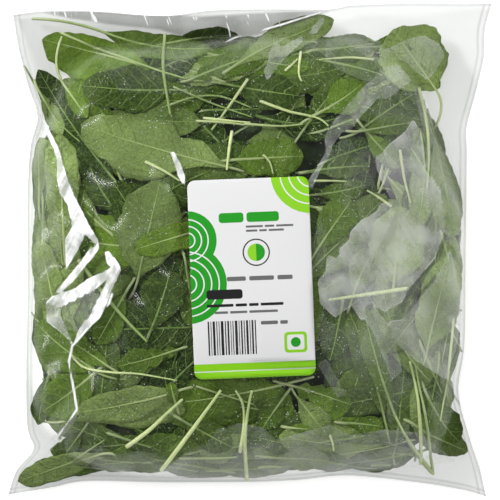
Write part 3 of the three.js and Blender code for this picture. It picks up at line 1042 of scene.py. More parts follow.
def make_core():
    """The dense middle of the heap, whose leaves don't show one by one: rough with small lumps."""
    line = np.linspace(-1, 1, CORE_CUTS)
    side, end = np.meshgrid(line, line, indexing="ij")
    goal = CORE_REACH * np.maximum(np.abs(side), np.abs(end))
    stretch = np.ones_like(side)
    for _ in range(4):
        across = 0.5 + 0.5 * side * stretch
        along = 0.5 + 0.5 * (HEAP_MIDDLE + HEAP_HALF_LENGTH * end * stretch)
        stretch = stretch * goal / np.maximum(heap_reach(across, along), 1e-6)
    xy = plan_point(across, along)
    x, y = xy[..., 0], xy[..., 1]
    depth = read_field(FILM_TOP, x, y) - read_field(FILM_BOTTOM, x, y)
    floor = read_field(FILM_BOTTOM, x, y)
    bumps = np.abs(lumps(2.3 * x, 2.3 * y) + lumps(5.1 * y, 4.7 * x))
    rough = bumps * CORE_ROUGHNESS * smooth_step(10, 30, depth)
    upper = np.stack([x, y, floor + depth * (core_share(depth) - CORE_TOP_GAP) - rough], axis=-1)
    lower = np.stack([x, y, floor + depth * (CORE_BOTTOM_SHARE + CORE_BOTTOM_GAP) + rough], axis=-1)
    vertices, faces = sheet_solid(upper, lower)
    return new_mesh("heap_core", vertices, faces)


# The film

FILM_CUTS = 220
EDGE_CROWDING = 0.45

# Crests of the film's upper side: height and reach in millimetres, whether its line is a painted highlight
# (white) or painted shade (dark) and how strong that is, and its path in the photograph's pixels.
CREASES = [
    (1.5, 7, "white", 0.6, [(36, 108), (50, 135), (62, 185), (75, 215), (100, 250)]),
    (1.3, 7, "white", 1.0, [(100, 250), (84, 266), (62, 290), (47, 303)]),
    (1.3, 7, "white", 1.0, [(108, 253), (120, 270), (109, 304), (74, 345), (48, 322)]),
    (1.0, 6, "white", 1.0, [(73, 344), (69, 362), (77, 410), (52, 446), (42, 452)]),
    (0.8, 6, "white", 0.74, [(65, 47), (120, 50), (155, 54), (193, 62)]),
    (1.0, 7, "white", 0.92, [(193, 62), (235, 38), (285, 24), (330, 10)]),
    (1.0, 9, "white", 0.45, [(405, 75), (365, 112), (330, 150), (322, 185)]),
    (1.1, 8, "white", 0.5, [(465, 250), (410, 295), (392, 335), (445, 378), (462, 400)]),
    (0.9, 7, "white", 0.45, [(375, 160), (395, 215), (372, 262), (350, 300)]),
    (0.9, 6, "white", 0.4, [(350, 425), (395, 430), (450, 462)]),
    (0.8, 4, "white", 0.9, [(171, 152), (180, 168), (184, 186)]),
    (0.8, 6, "white", 0.45, [(60, 455), (95, 432), (125, 440)]),
    (0.4, 4, "dark", 1.0, [(444, 229), (427, 269), (407, 292), (401, 318)]),
    (0.4, 4, "dark", 0.9, [(446, 236), (434, 280), (421, 294), (403, 321)]),
    (0.5, 5, "white", 0.78, [(389, 322), (391, 338), (409, 356), (446, 380)]),
    (0.4, 5, "dark", 0.8, [(446, 380), (454, 396), (462, 408)]),
]

# Facets of the film with painted highlights: how white each is painted, and its outline in the photograph's
# pixels
FACETS = [
    (0.46, [
        (413, 120), (421, 133), (426, 171), (440, 190), (446, 228), (435, 258), (408, 290), (402, 302),
        (385, 312), (372, 305), (362, 322), (352, 306), (335, 318), (320, 304), (318, 281), (326, 272),
        (327, 255), (338, 259), (340, 249), (349, 241), (351, 232), (361, 221), (377, 212), (380, 205),
        (392, 202), (384, 186), (377, 171), (375, 158), (383, 152), (389, 145), (405, 133),
    ]),
    (0.3, [
        (354, 98), (363, 88), (381, 71), (389, 66), (399, 66), (411, 81), (396, 93), (388, 99),
        (378, 98), (371, 106), (359, 119), (349, 133), (342, 132), (332, 146), (331, 154), (320, 170),
        (311, 191), (308, 182), (316, 170), (326, 152), (325, 137), (333, 123), (346, 108),
    ]),
    (0.17, [(426, 110), (446, 132), (462, 190), (464, 262), (446, 240), (440, 190), (426, 165)]),
    (0.34, [
        (389, 322), (391, 338), (409, 356), (446, 380), (458, 340), (462, 300), (450, 250), (438, 275),
        (422, 296), (403, 320),
    ]),
    (0.32, [
        (277, 40), (280, 46), (284, 47), (303, 36), (302, 42), (288, 55), (280, 63), (267, 81),
        (264, 72), (268, 63), (270, 51),
    ]),
    (0.36, [(323, 16), (325, 22), (316, 34), (309, 34), (313, 27)]),
    (0.13, [(326, 40), (356, 38), (378, 46), (389, 55), (384, 68), (366, 83), (340, 71), (326, 58)]),
    (0.25, [(386, 50), (408, 40), (424, 36), (439, 45), (445, 56), (436, 71), (427, 80), (410, 66)]),
    (0.22, [(416, 84), (424, 98), (430, 122), (432, 150), (424, 140), (420, 112), (414, 92)]),
    (0.22, [
        (168, 468), (190, 450), (206, 446), (216, 430), (238, 424), (262, 428), (276, 440), (300, 434),
        (330, 426), (352, 436), (384, 430), (420, 434), (455, 462), (300, 480), (150, 476),
    ]),
    (0.12, [(318, 365), (326, 360), (346, 395), (338, 398)]),
    (0.22, [(352, 300), (364, 296), (392, 330), (402, 372), (392, 380), (372, 330)]),
    (0.06, [
        (120, 92), (200, 96), (240, 62), (332, 11), (334, 8), (236, 38), (190, 60), (150, 57), (92, 46),
    ]),
    (0.97, [
        (38, 112), (46, 124), (52, 136), (59, 150), (64, 168), (70, 186), (74, 196), (82, 212),
        (88, 224), (98, 240), (99, 247), (94, 243), (80, 230), (71, 220), (68, 206), (60, 194),
        (57, 178), (57, 160), (53, 147), (46, 130),
    ]),
    (0.7, [(71, 218), (82, 230), (84, 238), (80, 246), (66, 270), (65, 240), (72, 228)]),
    (0.97, [
        (99, 246), (98, 251), (88, 263), (73, 282), (60, 294), (55, 293), (68, 278), (84, 258),
        (90, 249),
    ]),
    (0.9, [
        (112, 268), (102, 273), (89, 279), (75, 289), (52, 297), (46, 303), (60, 307), (77, 301),
        (92, 292), (107, 280),
    ]),
    (0.85, [
        (105, 252), (109, 252), (118, 263), (121, 270), (119, 275), (112, 290), (107, 304), (100, 318),
        (88, 330), (74, 345), (78, 330), (92, 312), (102, 292), (107, 280), (112, 268), (107, 264),
    ]),
    (0.6, [(46, 303), (62, 307), (60, 316), (66, 330), (74, 344), (60, 332), (47, 322)]),
    (0.22, [(62, 307), (92, 292), (100, 296), (88, 318), (76, 332), (66, 328)]),
    (0.8, [(170, 152), (174, 153), (180, 163), (185, 177), (184, 187), (179, 178), (175, 166)]),
    (0.3, [(44, 448), (60, 430), (78, 412), (74, 424), (60, 440), (50, 452)]),
    (0.13, [
        (36, 130), (44, 150), (50, 175), (54, 196), (58, 214), (62, 238), (56, 262), (46, 282),
        (38, 280), (34, 200),
    ]),
]

# The part of the top margin where the film lies bunched and grey, partly its own dimming and partly painted
# shade, in the photograph's pixels
BUNCHED = [
    (44, 13), (96, 12), (130, 14), (165, 15), (200, 17), (250, 14), (300, 12), (328, 12), (300, 22),
    (240, 40), (215, 50), (200, 42), (160, 30), (104, 24), (70, 19),
]
FACET_RAMP = 3.0
LINE_RAMP = 2.8
MARGIN_GREY = 0.28
BAND_GREY_AND_PAINTED_SHADE = 0.9
LOWER_HAZE = 0.03

# The least haze, and how much patches add to it, on the whole film; and on its right side, a painted
# reflection and how much patches add to it
HAZE = (0.001, 0.004)
RIGHT_PAINTED_REFLECTION = (0.03, 0.05)

# Weld lines: how far each lies from the left, right, top and bottom edge, in millimetres
WELDS = {"left": (0.8, 3.4), "right": (0.8, 4.0), "top": (0.7,), "bottom": (0.8, 3.2)}
WELD_GREY = 0.26
WELD_HALF_WIDTH = 0.9

# Crests of the crisp film: the length and the height of each size of them, and how they bend and rise
CRINKLES = [(52, 0.7), (27, 0.24), (12, 0.06)]
CRINKLE_BEND = 0.35
CRINKLE_BEND_LENGTH = 1.7
CRINKLE_CREST = 0.45


def value_noise(x, y, length, seed):
    """Smooth random heights from -1 to 1, one new value every length millimetres."""
    table = np.random.default_rng(seed).uniform(-1, 1, (64, 64))
    at_x, at_y = x / length + 31, y / length + 31
    i, j = np.floor(at_x).astype(int), np.floor(at_y).astype(int)
    u, v = at_x - i, at_y - j
    u, v = u * u * (3 - 2 * u), v * v * (3 - 2 * v)
    return blend_cells(table, i % 63, j % 63, u, v)


def crinkles(x, y):
    """Sharp crests between smooth facets, as in crisp film: ridges where a slow noise changes sign."""
    height = 0
    for octave, (length, size) in enumerate(CRINKLES):
        bend = CRINKLE_BEND * length
        slow = CRINKLE_BEND_LENGTH * length
        sway_x = x + bend * value_noise(x, y, slow, SEED + 20 + octave)
        sway_y = y + bend * value_noise(x, y, slow, SEED + 30 + octave)
        crest = CRINKLE_CREST - np.abs(value_noise(sway_x, sway_y, length, SEED + octave))
        height = height + size * crest
    return height


def crease_lines():
    """The crests with their paths in millimetres."""
    for height, reach, kind, strength, pixels in CREASES:
        yield height, reach, kind, strength, photo_path(pixels)


def creases(x, y):
    height = 0
    for crest, reach, _, _, path in crease_lines():
        near = np.maximum(0, 1 - path_distance(x, y, path) / reach)
        height = height + crest * near**2
    return height


def ramp_into(x, y, pixels):
    """0.5 on the edge of a shape of the photograph, rising to 1 inside it and falling to 0 outside."""
    outline = photo_path(pixels)
    points = np.stack([x.ravel(), y.ravel()], axis=1)
    within = inside(points, np.array(outline)).reshape(x.shape)
    distance = path_distance(x, y, outline + outline[:1]) * np.where(within, 1, -1)
    return 0.5 + 0.5 * np.clip(distance / FACET_RAMP, -1, 1)


def facet_ramps(x, y):
    """How far inside the nearest facet each point is, and how white that facet is."""
    best, white = np.zeros_like(x), np.zeros_like(x)
    for own_white, pixels in FACETS:
        ramp = ramp_into(x, y, pixels)
        white = np.where(ramp > best, own_white, white)
        best = np.maximum(best, ramp)
    return best, white


def haze_and_painted_reflection(x, y):
    """The share of the light that the upper film scatters everywhere as haze, and more on the right as a
    painted reflection.
    """
    right = smooth_step(30, 62, x) * smooth_step(-95, -50, y) * smooth_step(95, 40, y)
    patches = smooth_step(-0.35, 0.5, value_noise(x, y, 26, SEED + 60))
    # On the right: a painted reflection of a large light
    return HAZE[0] + HAZE[1] * patches + right * (RIGHT_PAINTED_REFLECTION[0] + RIGHT_PAINTED_REFLECTION[1] * patches)


def line_ramps(x, y, kind):
    """How strongly the crests' painted lines show, white highlights or dark shade: most on the crest
    itself, nothing beside it.
    """
    best = np.zeros_like(x)
    patchy = 0.55 + 0.45 * smooth_step(-0.6, 0.4, value_noise(x, y, 9, SEED + 70))
    for _, _, own_kind, strength, path in crease_lines():
        if own_kind == kind:
            ramp = np.maximum(0, 1 - path_distance(x, y, path) / LINE_RAMP)
            best = np.maximum(best, ramp * strength * patchy)
    return best


def shade(across, along, x, y):
    """How much the film greys what is behind it: at its welds, and in a band at the top where it lies
    bunched, which is partly painted shade.
    """
    width = TOP_RIGHT[0] - TOP_LEFT[0]
    length = TOP_RIGHT[1] - BOTTOM_RIGHT[1]
    distances = {
        "left": across * width, "right": (1 - across) * width,
        "top": (1 - along) * length, "bottom": along * length,
    }
    grey = 0
    for edge, places in WELDS.items():
        for place in places:
            off = np.abs(distances[edge] - place)
            grey = grey + WELD_GREY * np.maximum(0, 1 - off / WELD_HALF_WIDTH)
    mottle = 0.8 + 0.2 * value_noise(x, y, 11, SEED + 90)
    band = mottle * smooth_step(0.35, 0.65, ramp_into(x, y, BUNCHED))
    side_share = 1 - 0.45 * smooth_step(0.3, 0.7, across)
    margin = MARGIN_GREY * side_share * smooth_step(0.95, 1.02, heap_reach(across, along))
    return np.minimum(grey + BAND_GREY_AND_PAINTED_SHADE * band + margin, 1)


def film_grid(upper):
    line = np.linspace(0, 1, FILM_CUTS)
    share = line * (1 - EDGE_CROWDING) + EDGE_CROWDING * (1 - np.cos(math.pi * line)) / 2
    across, along = np.meshgrid(share, share, indexing="ij")
    xy = plan_point(across, along)
    x, y = xy[..., 0], xy[..., 1]
    wave = margin_wave(across, along)
    low = underside(across, along) + wave
    high = topside(across, along) + wave
    reach = heap_reach(across, along)
    if upper:
        loose = (1 - label_hold(x, y)) * smooth_step(1.08, 0.9, reach)
        z = high + loose * (crinkles(x, y) + creases(x, y))
    else:
        lifted = smooth_step(CONTACT_SHARE + 0.06, 0.95, reach) * smooth_step(1.08, 0.98, reach)
        z = low + lifted * crinkles(-x, y + 300)
    seam = (low + high) / 2
    rim = np.minimum(np.minimum(across, 1 - across), np.minimum(along, 1 - along))
    closing = smooth_step(0, 0.006, rim)
    z = seam * (1 - closing) + z * closing
    return np.stack([x, y, z], axis=-1), shade(across, along, x, y)


def make_film():
    """The pouch: two sheets of film that meet along their common rim."""
    upper, grey = film_grid(True)
    lower, lower_grey = film_grid(False)
    size = FILM_CUTS
    upper_count = size * size
    ids = np.arange(upper_count).reshape(size, size)
    inner = (slice(1, -1), slice(1, -1))
    lower_ids = ids.copy()
    lower_ids[inner] = upper_count + np.arange((size - 2) ** 2).reshape(size - 2, size - 2)
    vertices = np.concatenate([upper.reshape(-1, 3), lower[inner].reshape(-1, 3)])
    a, b = lower_ids[:-1, :-1].ravel(), lower_ids[1:, :-1].ravel()
    c, d = lower_ids[1:, 1:].ravel(), lower_ids[:-1, 1:].ravel()
    faces = np.concatenate([grid_faces(size, size), np.stack([d, c, b, a], axis=1)])
    x, y = upper[..., 0], upper[..., 1]
    ramp, white = facet_ramps(x, y)
    lines = [line_ramps(x, y, kind) for kind in ("white", "dark")]
    look, shine = np.zeros((2, len(vertices), 3))
    look[:upper_count] = np.stack([haze_and_painted_reflection(x, y), grey, ramp], axis=-1).reshape(-1, 3)
    look[upper_count:, 0] = LOWER_HAZE
    look[upper_count:, 1] = np.minimum(lower_grey[inner], MARGIN_GREY).ravel()
    shine[:upper_count] = np.stack([white, *lines], axis=-1).reshape(-1, 3)
    return new_mesh("film", vertices, faces, [("look", look), ("shine", shine)])


# The label, with its print

LABEL_LIFT = 0.35
PAPER_THICKNESS = 0.3
PAPER_CUT = 2.5
INKS = {
    "paper": (0.74, 0.74, 0.745, 1),
    "green": (0.010, 0.300, 0.010, 1),
    "lime": (0.240, 0.600, 0.010, 1),
    "black": (0.015, 0.015, 0.015, 1),
    "grey": (0.130, 0.130, 0.130, 1),
}

BARCODE_BARS = (0.8, 0.4, 1.2, 0.5, 0.4, 1.4, 0.6, 0.9, 0.4, 0.5, 1.3, 0.4, 0.8, 0.5, 1.1, 0.4, 0.9, 0.6)
BARCODE_GAP = 0.72

# White rings on the label's green discs: middle, radii, and the angles where they start and end
RINGS = [
    (-33, 21, (4, 7.5, 11), -90, 90),
    (-34, -2, (5, 9, 13, 17), -90, 90),
    (33, 54, (7, 11.5, 16), 180, 270),
]
RING_WIDTH = 0.7


def disc(a, b, radius, start=0, end=360, cuts=36):
    angle = np.radians(np.linspace(start, end, cuts, endpoint=end - start < 360))
    return np.stack([a + radius * np.cos(angle), b + radius * np.sin(angle)], axis=1)


def box(a0, b0, a1, b1, radius=0.0):
    """A rectangle with rounded corners."""
    corners = [
        (a1 - radius, b1 - radius, 0), (a0 + radius, b1 - radius, 90),
        (a0 + radius, b0 + radius, 180), (a1 - radius, b0 + radius, 270),
    ]
    if radius == 0:
        return np.array([(a, b) for a, b, _ in corners])
    return np.concatenate([disc(a, b, radius, turn, turn + 90, 6) for a, b, turn in corners])


def arc(a, b, radius, start, end, width):
    """A curved line of one width."""
    outer = disc(a, b, radius + width / 2, start, end)
    inner = disc(a, b, radius - width / 2, start, end)
    return np.concatenate([outer, inner[::-1]])


def words(ink, a, b, height, lengths, gap):
    """A line of plain bars in place of words."""
    shapes = []
    for length in lengths:
        shapes.append((ink, box(a, b, a + length, b + height, 0.3 * height)))
        a += length + gap
    return shapes


def label_shapes():
    """The printed shapes, from the lowest to the highest, in millimetres from the label's middle."""
    shapes = [
        ("green", disc(-33, 21, 15.5)),
        ("green", disc(-34, -2, 21)),
        ("lime", disc(33, 54, 21)),
        ("lime", box(-33, -53.5, 33, -44.5)),
        ("paper", box(-33, -48.9, 33, -48.3)),
    ]
    for a, b, radii, start, end in RINGS:
        shapes += [("paper", arc(a, b, radius, start, end, RING_WIDTH)) for radius in radii]
    shapes += words("green", -16, 29.5, 5.2, (13, 17), 1.6)
    shapes += words("grey", -2, 26.6, 1.1, (9, 5, 9), 1.0)
    shapes += words("grey", -2, 24.4, 1.1, (6, 4, 8), 1.0)
    shapes += [
        ("black", disc(3, 13.5, 7.2)),
        ("paper", disc(3, 13.5, 6.5)),
        ("green", disc(3, 13.5, 4.6)),
        ("lime", disc(3, 13.5, 4.6, 90, 270)),
    ]
    shapes += words("grey", -13, -1.2, 2.3, (10, 13, 8), 1.8)
    shapes += words("black", -24, -10.5, 5.0, (19,), 1.8)
    shapes += words("black", -24, -14.6, 1.5, (14, 6, 5, 12), 1.1)
    shapes += words("grey", -20, -18.2, 1.3, (7, 9, 15), 1.1)
    a = -24.0
    for width in BARCODE_BARS:
        shapes.append(("black", box(a, -40, a + width, -22)))
        a += width + BARCODE_GAP
    shapes += words("grey", 4, -24.6, 1.9, (9, 4), 1.2)
    shapes += [("lime", box(16, -40, 28, -29, 2)), ("paper", box(17.5, -38.5, 26.5, -30.5, 1.2))]
    shapes.append(("green", disc(22, -34.5, 2.6)))
    return shapes


def inside(points, outline):
    """Whether each point lies inside a closed outline."""
    x, y = points[:, 0, None], points[:, 1, None]
    x0, y0 = outline[:, 0][None], outline[:, 1][None]
    x1, y1 = np.roll(x0, -1, axis=1), np.roll(y0, -1, axis=1)
    rise = np.where(y1 == y0, 1e-9, y1 - y0)
    crossing = ((y0 > y) != (y1 > y)) & (x < (x1 - x0) * (y - y0) / rise + x0)
    return crossing.sum(axis=1) % 2 == 1


def cut_label():
    """The label cut into triangles along every printed outline, and the ink of each triangle."""
    outer = box(-LABEL_WIDTH / 2, -LABEL_LENGTH / 2, LABEL_WIDTH / 2, LABEL_LENGTH / 2, LABEL_CORNER)
    shapes = label_shapes()
    points, edges = [], []
    for outline in [outer] + [shape for ink, shape in shapes]:
        start = len(points)
        points += [Vector(p) for p in outline]
        edges += [(start + k, start + (k + 1) % len(outline)) for k in range(len(outline))]
    a = np.arange(-LABEL_WIDTH / 2 + 1, LABEL_WIDTH / 2, PAPER_CUT)
    b = np.arange(-LABEL_LENGTH / 2 + 1, LABEL_LENGTH / 2, PAPER_CUT)
    points += [Vector((p, q)) for p in a for q in b]
    corners, _, triangles, *_ = delaunay_2d_cdt(points, edges, [], 0, 1e-4)
    corners = np.array([tuple(p) for p in corners])
    triangles = np.array([t for t in triangles if len(t) == 3])
    middles = corners[triangles].mean(axis=1)
    kept = inside(middles, outer)
    triangles, middles = triangles[kept], middles[kept]
    names = list(INKS)
    ink = np.zeros(len(triangles), int)
    for name, outline in shapes:
        ink[inside(middles, outline)] = names.index(name)
    return corners, triangles, ink


def make_label():
    """A thin solid of paper on the film, whose printed parts are faces of their own."""
    corners, triangles, ink = cut_label()
    xy = label_position(corners[:, 0], corners[:, 1])
    base = topside(*plan_shares(xy[:, 0], xy[:, 1])) + LABEL_LIFT
    count = len(corners)
    upper = np.column_stack([xy, base + PAPER_THICKNESS])
    lower = np.column_stack([xy, base])
    sides = np.concatenate([triangles[:, [0, 1]], triangles[:, [1, 2]], triangles[:, [2, 0]]])
    known = {(i, j) for i, j in sides.tolist()}
    rim = np.array([(i, j) for i, j in sides.tolist() if (j, i) not in known])
    walls = np.concatenate([
        np.stack([rim[:, 1], rim[:, 0], rim[:, 0] + count], axis=1),
        np.stack([rim[:, 1], rim[:, 0] + count, rim[:, 1] + count], axis=1),
    ])
    faces = np.concatenate([triangles, triangles[:, ::-1] + count, walls])
    inks = np.concatenate([ink, np.zeros(len(faces) - len(ink), int)])
    piece = new_mesh("label_paper", np.concatenate([upper, lower]), faces)
    for name, colour in INKS.items():
        piece.data.materials.append(paper_material(name, colour))
    piece.data.polygons.foreach_set("material_index", inks.astype(np.int32))
    return piece


# Drops of water on the inner side of the film

DROPS = 3200
DROP_SIDES = 6
DROP_REACH = 0.93
DROP_RADII = (0.14, 0.41)
DROP_SKEW = 0.45
DROP_PATCH = 17
DROP_FLATNESS = 0.55
DROP_DEPTH = 0.12
DROP_WAIST = 0.6


def drop_faces():
    """Triangles round a drop's waist and up to its two ends."""
    n = DROP_SIDES
    faces = []
    for k in range(n):
        m = (k + 1) % n
        faces += [(k, n + k, n + m), (k, n + m, m), (2 * n, k, m), (2 * n + 1, n + m, n + k)]
    return np.array(faces)


def make_drops():
    rng = np.random.default_rng(SEED + 5)
    gathered = Gathered()
    faces = drop_faces()
    turn = np.linspace(0, 2 * math.pi, DROP_SIDES, endpoint=False)
    small, large = DROP_RADII
    made = 0
    while made < DROPS:
        across, along = rng.uniform(0.03, 0.97, 2)
        x, y = plan_point(np.array(across), np.array(along))
        crowd = value_noise(np.array(x), np.array(y), DROP_PATCH, SEED + 80)
        outside = heap_reach(across, along) > DROP_REACH
        if outside or rng.uniform() > 0.25 + 0.9 * max(0.0, float(crowd)):
            continue
        radius = small + (large - small) * rng.power(DROP_SKEW)
        height = DROP_FLATNESS * radius
        top = read_field(FILM_TOP, np.array(x), np.array(y)) - DROP_DEPTH
        rows = [
            np.column_stack([
                x + radius * math.cos(lift) * np.cos(turn),
                y + radius * math.cos(lift) * np.sin(turn),
                np.full(DROP_SIDES, top - height * math.sin(lift)),
            ])
            for lift in (-DROP_WAIST, DROP_WAIST)
        ]
        gathered.add(np.concatenate(rows + [[(x, y, top + height), (x, y, top - height)]]), faces)
        made += 1
    return gathered.piece("drops")


# Materials

class Value:
    """A number, colour, vector or surface in a node tree. Numbers add and multiply as plain ones do."""

    def __init__(self, graph, socket):
        self.graph = graph
        self.socket = socket

    def __add__(self, other):
        return self.graph.math("ADD", self, other)

    def __sub__(self, other):
        return self.graph.math("SUBTRACT", self, other)

    def __rsub__(self, other):
        return self.graph.math("SUBTRACT", other, self)

    def __mul__(self, other):
        return self.graph.math("MULTIPLY", self, other)

    def __truediv__(self, other):
        return self.graph.math("DIVIDE", self, other)

    def __pow__(self, other):
        return self.graph.math("POWER", self, other)

    def __abs__(self):
        return self.graph.math("ABSOLUTE", self)


class Graph:
    """A short way to write a material's node tree."""

    def __init__(self, name):
        self.material = bpy.data.materials.new(name)
        self.material.use_nodes = True
        self.tree = self.material.node_tree
        self.tree.nodes.clear()

    def node(self, kind, inputs=(), output=0, **settings):
        """One output of a new node, whose inputs are given by name or number."""
        node = self.tree.nodes.new("ShaderNode" + kind)
        for key, value in settings.items():
            setattr(node, key, value)
        for key, value in dict(inputs).items():
            self.put(node.inputs[key], value)
        return Value(self, node.outputs[output])

    def put(self, socket, value):
        if isinstance(value, Value):
            self.tree.links.new(value.socket, socket)
        elif hasattr(socket.default_value, "__len__") and not hasattr(value, "__len__"):
            socket.default_value = (value,) * len(socket.default_value)
        else:
            socket.default_value = value

    def math(self, operation, *values):
        return self.node("Math", enumerate(values), operation=operation)

    def highest(self, a, b):
        return self.math("MAXIMUM", a, b)

    def mix(self, share, a, b):
        """The colour a at share 0, and b at share 1."""
        return self.node("Mix", {"Factor": share, 6: a, 7: b}, 2, data_type="RGBA")

    def vector(self, x, y, z):
        return self.node("CombineXYZ", enumerate((x, y, z)))

    def parts(self, vector):
        """The three numbers of a vector."""
        split = self.node("SeparateXYZ", {0: vector})
        return [Value(self, socket) for socket in split.socket.node.outputs]

    def attribute(self, name):
        return self.parts(self.node("Attribute", output="Vector", attribute_name=name))

    def noise(self, at, scale, detail=2.0, roughness=0.5, output="Fac"):
        inputs = {"Vector": at, "Scale": scale, "Detail": detail, "Roughness": roughness}
        return self.node("TexNoise", inputs, output)

    def step(self, low, high, value):
        inputs = {"Value": value, "From Min": low, "From Max": high}
        return self.node("MapRange", inputs, "Result", interpolation_type="SMOOTHSTEP")

    def object_place(self):
        return self.node("TexCoord", output="Object")

    def sway(self, at, scale, size):
        """The place moved a little by a slow noise."""
        inputs = {0: self.noise(at, scale, output="Color"), 1: (size, size, size), 2: at}
        return self.node("VectorMath", inputs, operation="MULTIPLY_ADD")

    def bump(self, height, strength, distance):
        return self.node("Bump", {"Height": height, "Strength": strength, "Distance": distance})

    def finish(self, surface):
        output = self.tree.nodes.new("ShaderNodeOutputMaterial")
        self.put(output.inputs["Surface"], surface)
        return self.material

    def finish_plain(self, colour, roughness, specular, **more):
        """Ends the tree in a plain opaque surface, with more of its inputs by name."""
        inputs = {"Base Color": colour, "Roughness": roughness, "Specular IOR Level": specular, **more}
        return self.finish(self.node("BsdfPrincipled", inputs))


# Colours of the leaves' upper and lower sides, each at tone 0 and at tone 1, and of what lies over them
LEAF_UPPER = ((0.013, 0.034, 0.004, 1), (0.172, 0.305, 0.024, 1))
LEAF_LOWER = ((0.044, 0.086, 0.014, 1), (0.362, 0.492, 0.155, 1))
LEAF_SHADE = (0.010, 0.028, 0.004, 1)
# Painted sheen: a pale green laid over patches of the blade where light would gleam
LEAF_PAINTED_SHEEN = (0.30, 0.42, 0.12, 1)
LEAF_LIGHT_GRAIN = (0.26, 0.38, 0.09, 1)
LEAF_DARK_GRAIN = (0.008, 0.022, 0.003, 1)
LEAF_NET = (0.22, 0.33, 0.07, 1)
LEAF_VEIN = (0.33, 0.44, 0.14, 1)
LEAF_RIB = (0.36, 0.47, 0.17, 1)
LEAF_BUMP = 0.0013

# The side veins, in millimetres along and across the blade
VEIN_GAP = 7.2
VEIN_WANDER = 7.0
VEIN_STAGGER = 3.1
VEIN_FADE = (6.0, 15.0)


def side_veins(g, place, along, off):
    """1 on the veins that leave the midrib at a slant on both sides, less towards the blade's edge."""
    from_rib = abs(off)
    wander = (g.noise(place, 0.09) - 0.5) * VEIN_WANDER
    stagger = g.math("GREATER_THAN", off, 0.0) * VEIN_STAGGER
    ladder = along + stagger - from_rib**1.25 * 0.5 + wander
    phase = abs(g.math("FRACT", ladder / VEIN_GAP) - 0.5)
    near_rib = 1 - g.step(*VEIN_FADE, from_rib)
    return (1 - g.step(0.012, 0.07, phase)) * (near_rib * 0.75 + 0.25)


def leaf_flesh(g, place, tone, upper):
    """The blade's colour between its veins: mottled, with pale patches of painted sheen and a fine grain.
    """
    flesh = g.mix(upper, g.mix(tone, *LEAF_LOWER), g.mix(tone, *LEAF_UPPER))
    patches = g.step(0.35, 0.75, g.noise(place, 0.05, 3.0))
    flesh = g.mix(patches, g.mix(0.40, flesh, LEAF_SHADE), flesh)
    # Pale patches of painted sheen
    painted_sheen = g.step(0.5, 0.8, g.noise(place, 0.035))
    flesh = g.mix(painted_sheen * 0.26, flesh, LEAF_PAINTED_SHEEN)
    grain = g.noise(place, 0.55, 4.0, 0.7)
    flesh = g.mix(g.step(0.5, 0.72, grain) * 0.30, flesh, LEAF_LIGHT_GRAIN)
    return g.mix(g.step(0.5, 0.28, grain) * 0.42, flesh, LEAF_DARK_GRAIN)


def leaf_material():
    """Green blades: paler and duller beneath, with a midrib, side veins and a fine net between them."""
    g = Graph("leaf")
    along, off, share = g.attribute("blade")
    tone, seed, upper = g.attribute("look")
    place = g.vector(along, off, seed * 7.0)
    rib_half = share * -0.65 + 0.8
    rib = 1 - g.step(rib_half * 0.55, rib_half, abs(off))
    vein = side_veins(g, place, along, off)
    cells = g.node("TexVoronoi", {"Vector": place, "Scale": 0.42}, "Distance", feature="DISTANCE_TO_EDGE")
    net = 1 - g.step(0.0, 0.12, cells)
    colour = g.mix(net * 0.22, leaf_flesh(g, place, tone, upper), LEAF_NET)
    drawn = vein * g.step(0.3, 0.55, g.noise(place, 0.06))
    colour = g.mix(drawn * 0.52, colour, LEAF_VEIN)
    colour = g.mix(rib * 0.6, colour, LEAF_RIB)
    relief = (vein * 0.35 + net * 0.2) * (upper * -2.0 + 1.0)
    height = relief + g.noise(place, 0.2, 4.0, 0.6) * 1.6
    return g.finish_plain(colour, upper * -0.14 + 0.55, 0.26, Normal=g.bump(height, 1.0, LEAF_BUMP))


# Colours of the stalks at tone 0 and at tone 1, of their streaks, of their far ends and of their cuts
STEM_TONES = ((0.090, 0.170, 0.026, 1), (0.800, 0.900, 0.440, 1))
STEM_STREAK = (0.400, 0.490, 0.220, 1)
STEM_FAR = (0.300, 0.480, 0.100, 1)
STEM_CUT = (0.600, 0.660, 0.420, 1)


def stem_material():
    """Pale green stems, nearly white where they were cut."""
    g = Graph("stem")
    place, tone, _ = g.attribute("look")
    streak = g.noise(g.object_place(), 260.0)
    colour = g.mix(tone, *STEM_TONES)
    colour = g.mix(g.step(0.35, 0.7, streak) * 0.3, colour, STEM_STREAK)
    colour = g.mix(g.step(6.0, 45.0, place) * 0.42, colour, STEM_FAR)
    near_cut = 1 - g.step(0.0, 7.0, place)
    colour = g.mix(near_cut * 0.4, colour, STEM_CUT)
    return g.finish_plain(colour, 0.42, 0.45, Normal=g.bump(streak, 0.3, 0.0003))


def core_material():
    """The leaves deep in the heap, painted dark as their shade."""
    g = Graph("heap_shade")
    at = g.object_place()
    patches = g.noise(at, 60.0, 4.0, 0.6)
    cells = {"Vector": g.sway(at, 30.0, 0.02), "Scale": 85.0, "Randomness": 1.0}
    tone = g.parts(g.node("TexVoronoi", cells, "Color"))[0]
    shaded = g.step(0.3, 0.75, patches) * (tone * 0.9 + 0.1)
    # Nearly black to dark green: painted shade deep in the heap
    colour = g.mix(shaded, (0.010, 0.019, 0.008, 1), (0.085, 0.130, 0.045, 1))
    height = patches + g.node("TexVoronoi", cells, "Distance")
    return g.finish_plain(colour, 0.7, 0.5, Normal=g.bump(height, 0.8, 0.003))


# What the film lets through where it is clear and where it is greyed, painted shade included, the colour of
# its haze and of its painted highlights, and the largest share of light that it scatters or shows as
# painted highlight
FILM_CLEAR = (0.970, 0.973, 0.972, 1)
FILM_GREYED = (0.40, 0.405, 0.395, 1)
FILM_HAZE_AND_PAINTED_SHINE = (0.90, 0.91, 0.91, 1)
MOST_SCATTER_AND_SHINE = 0.95


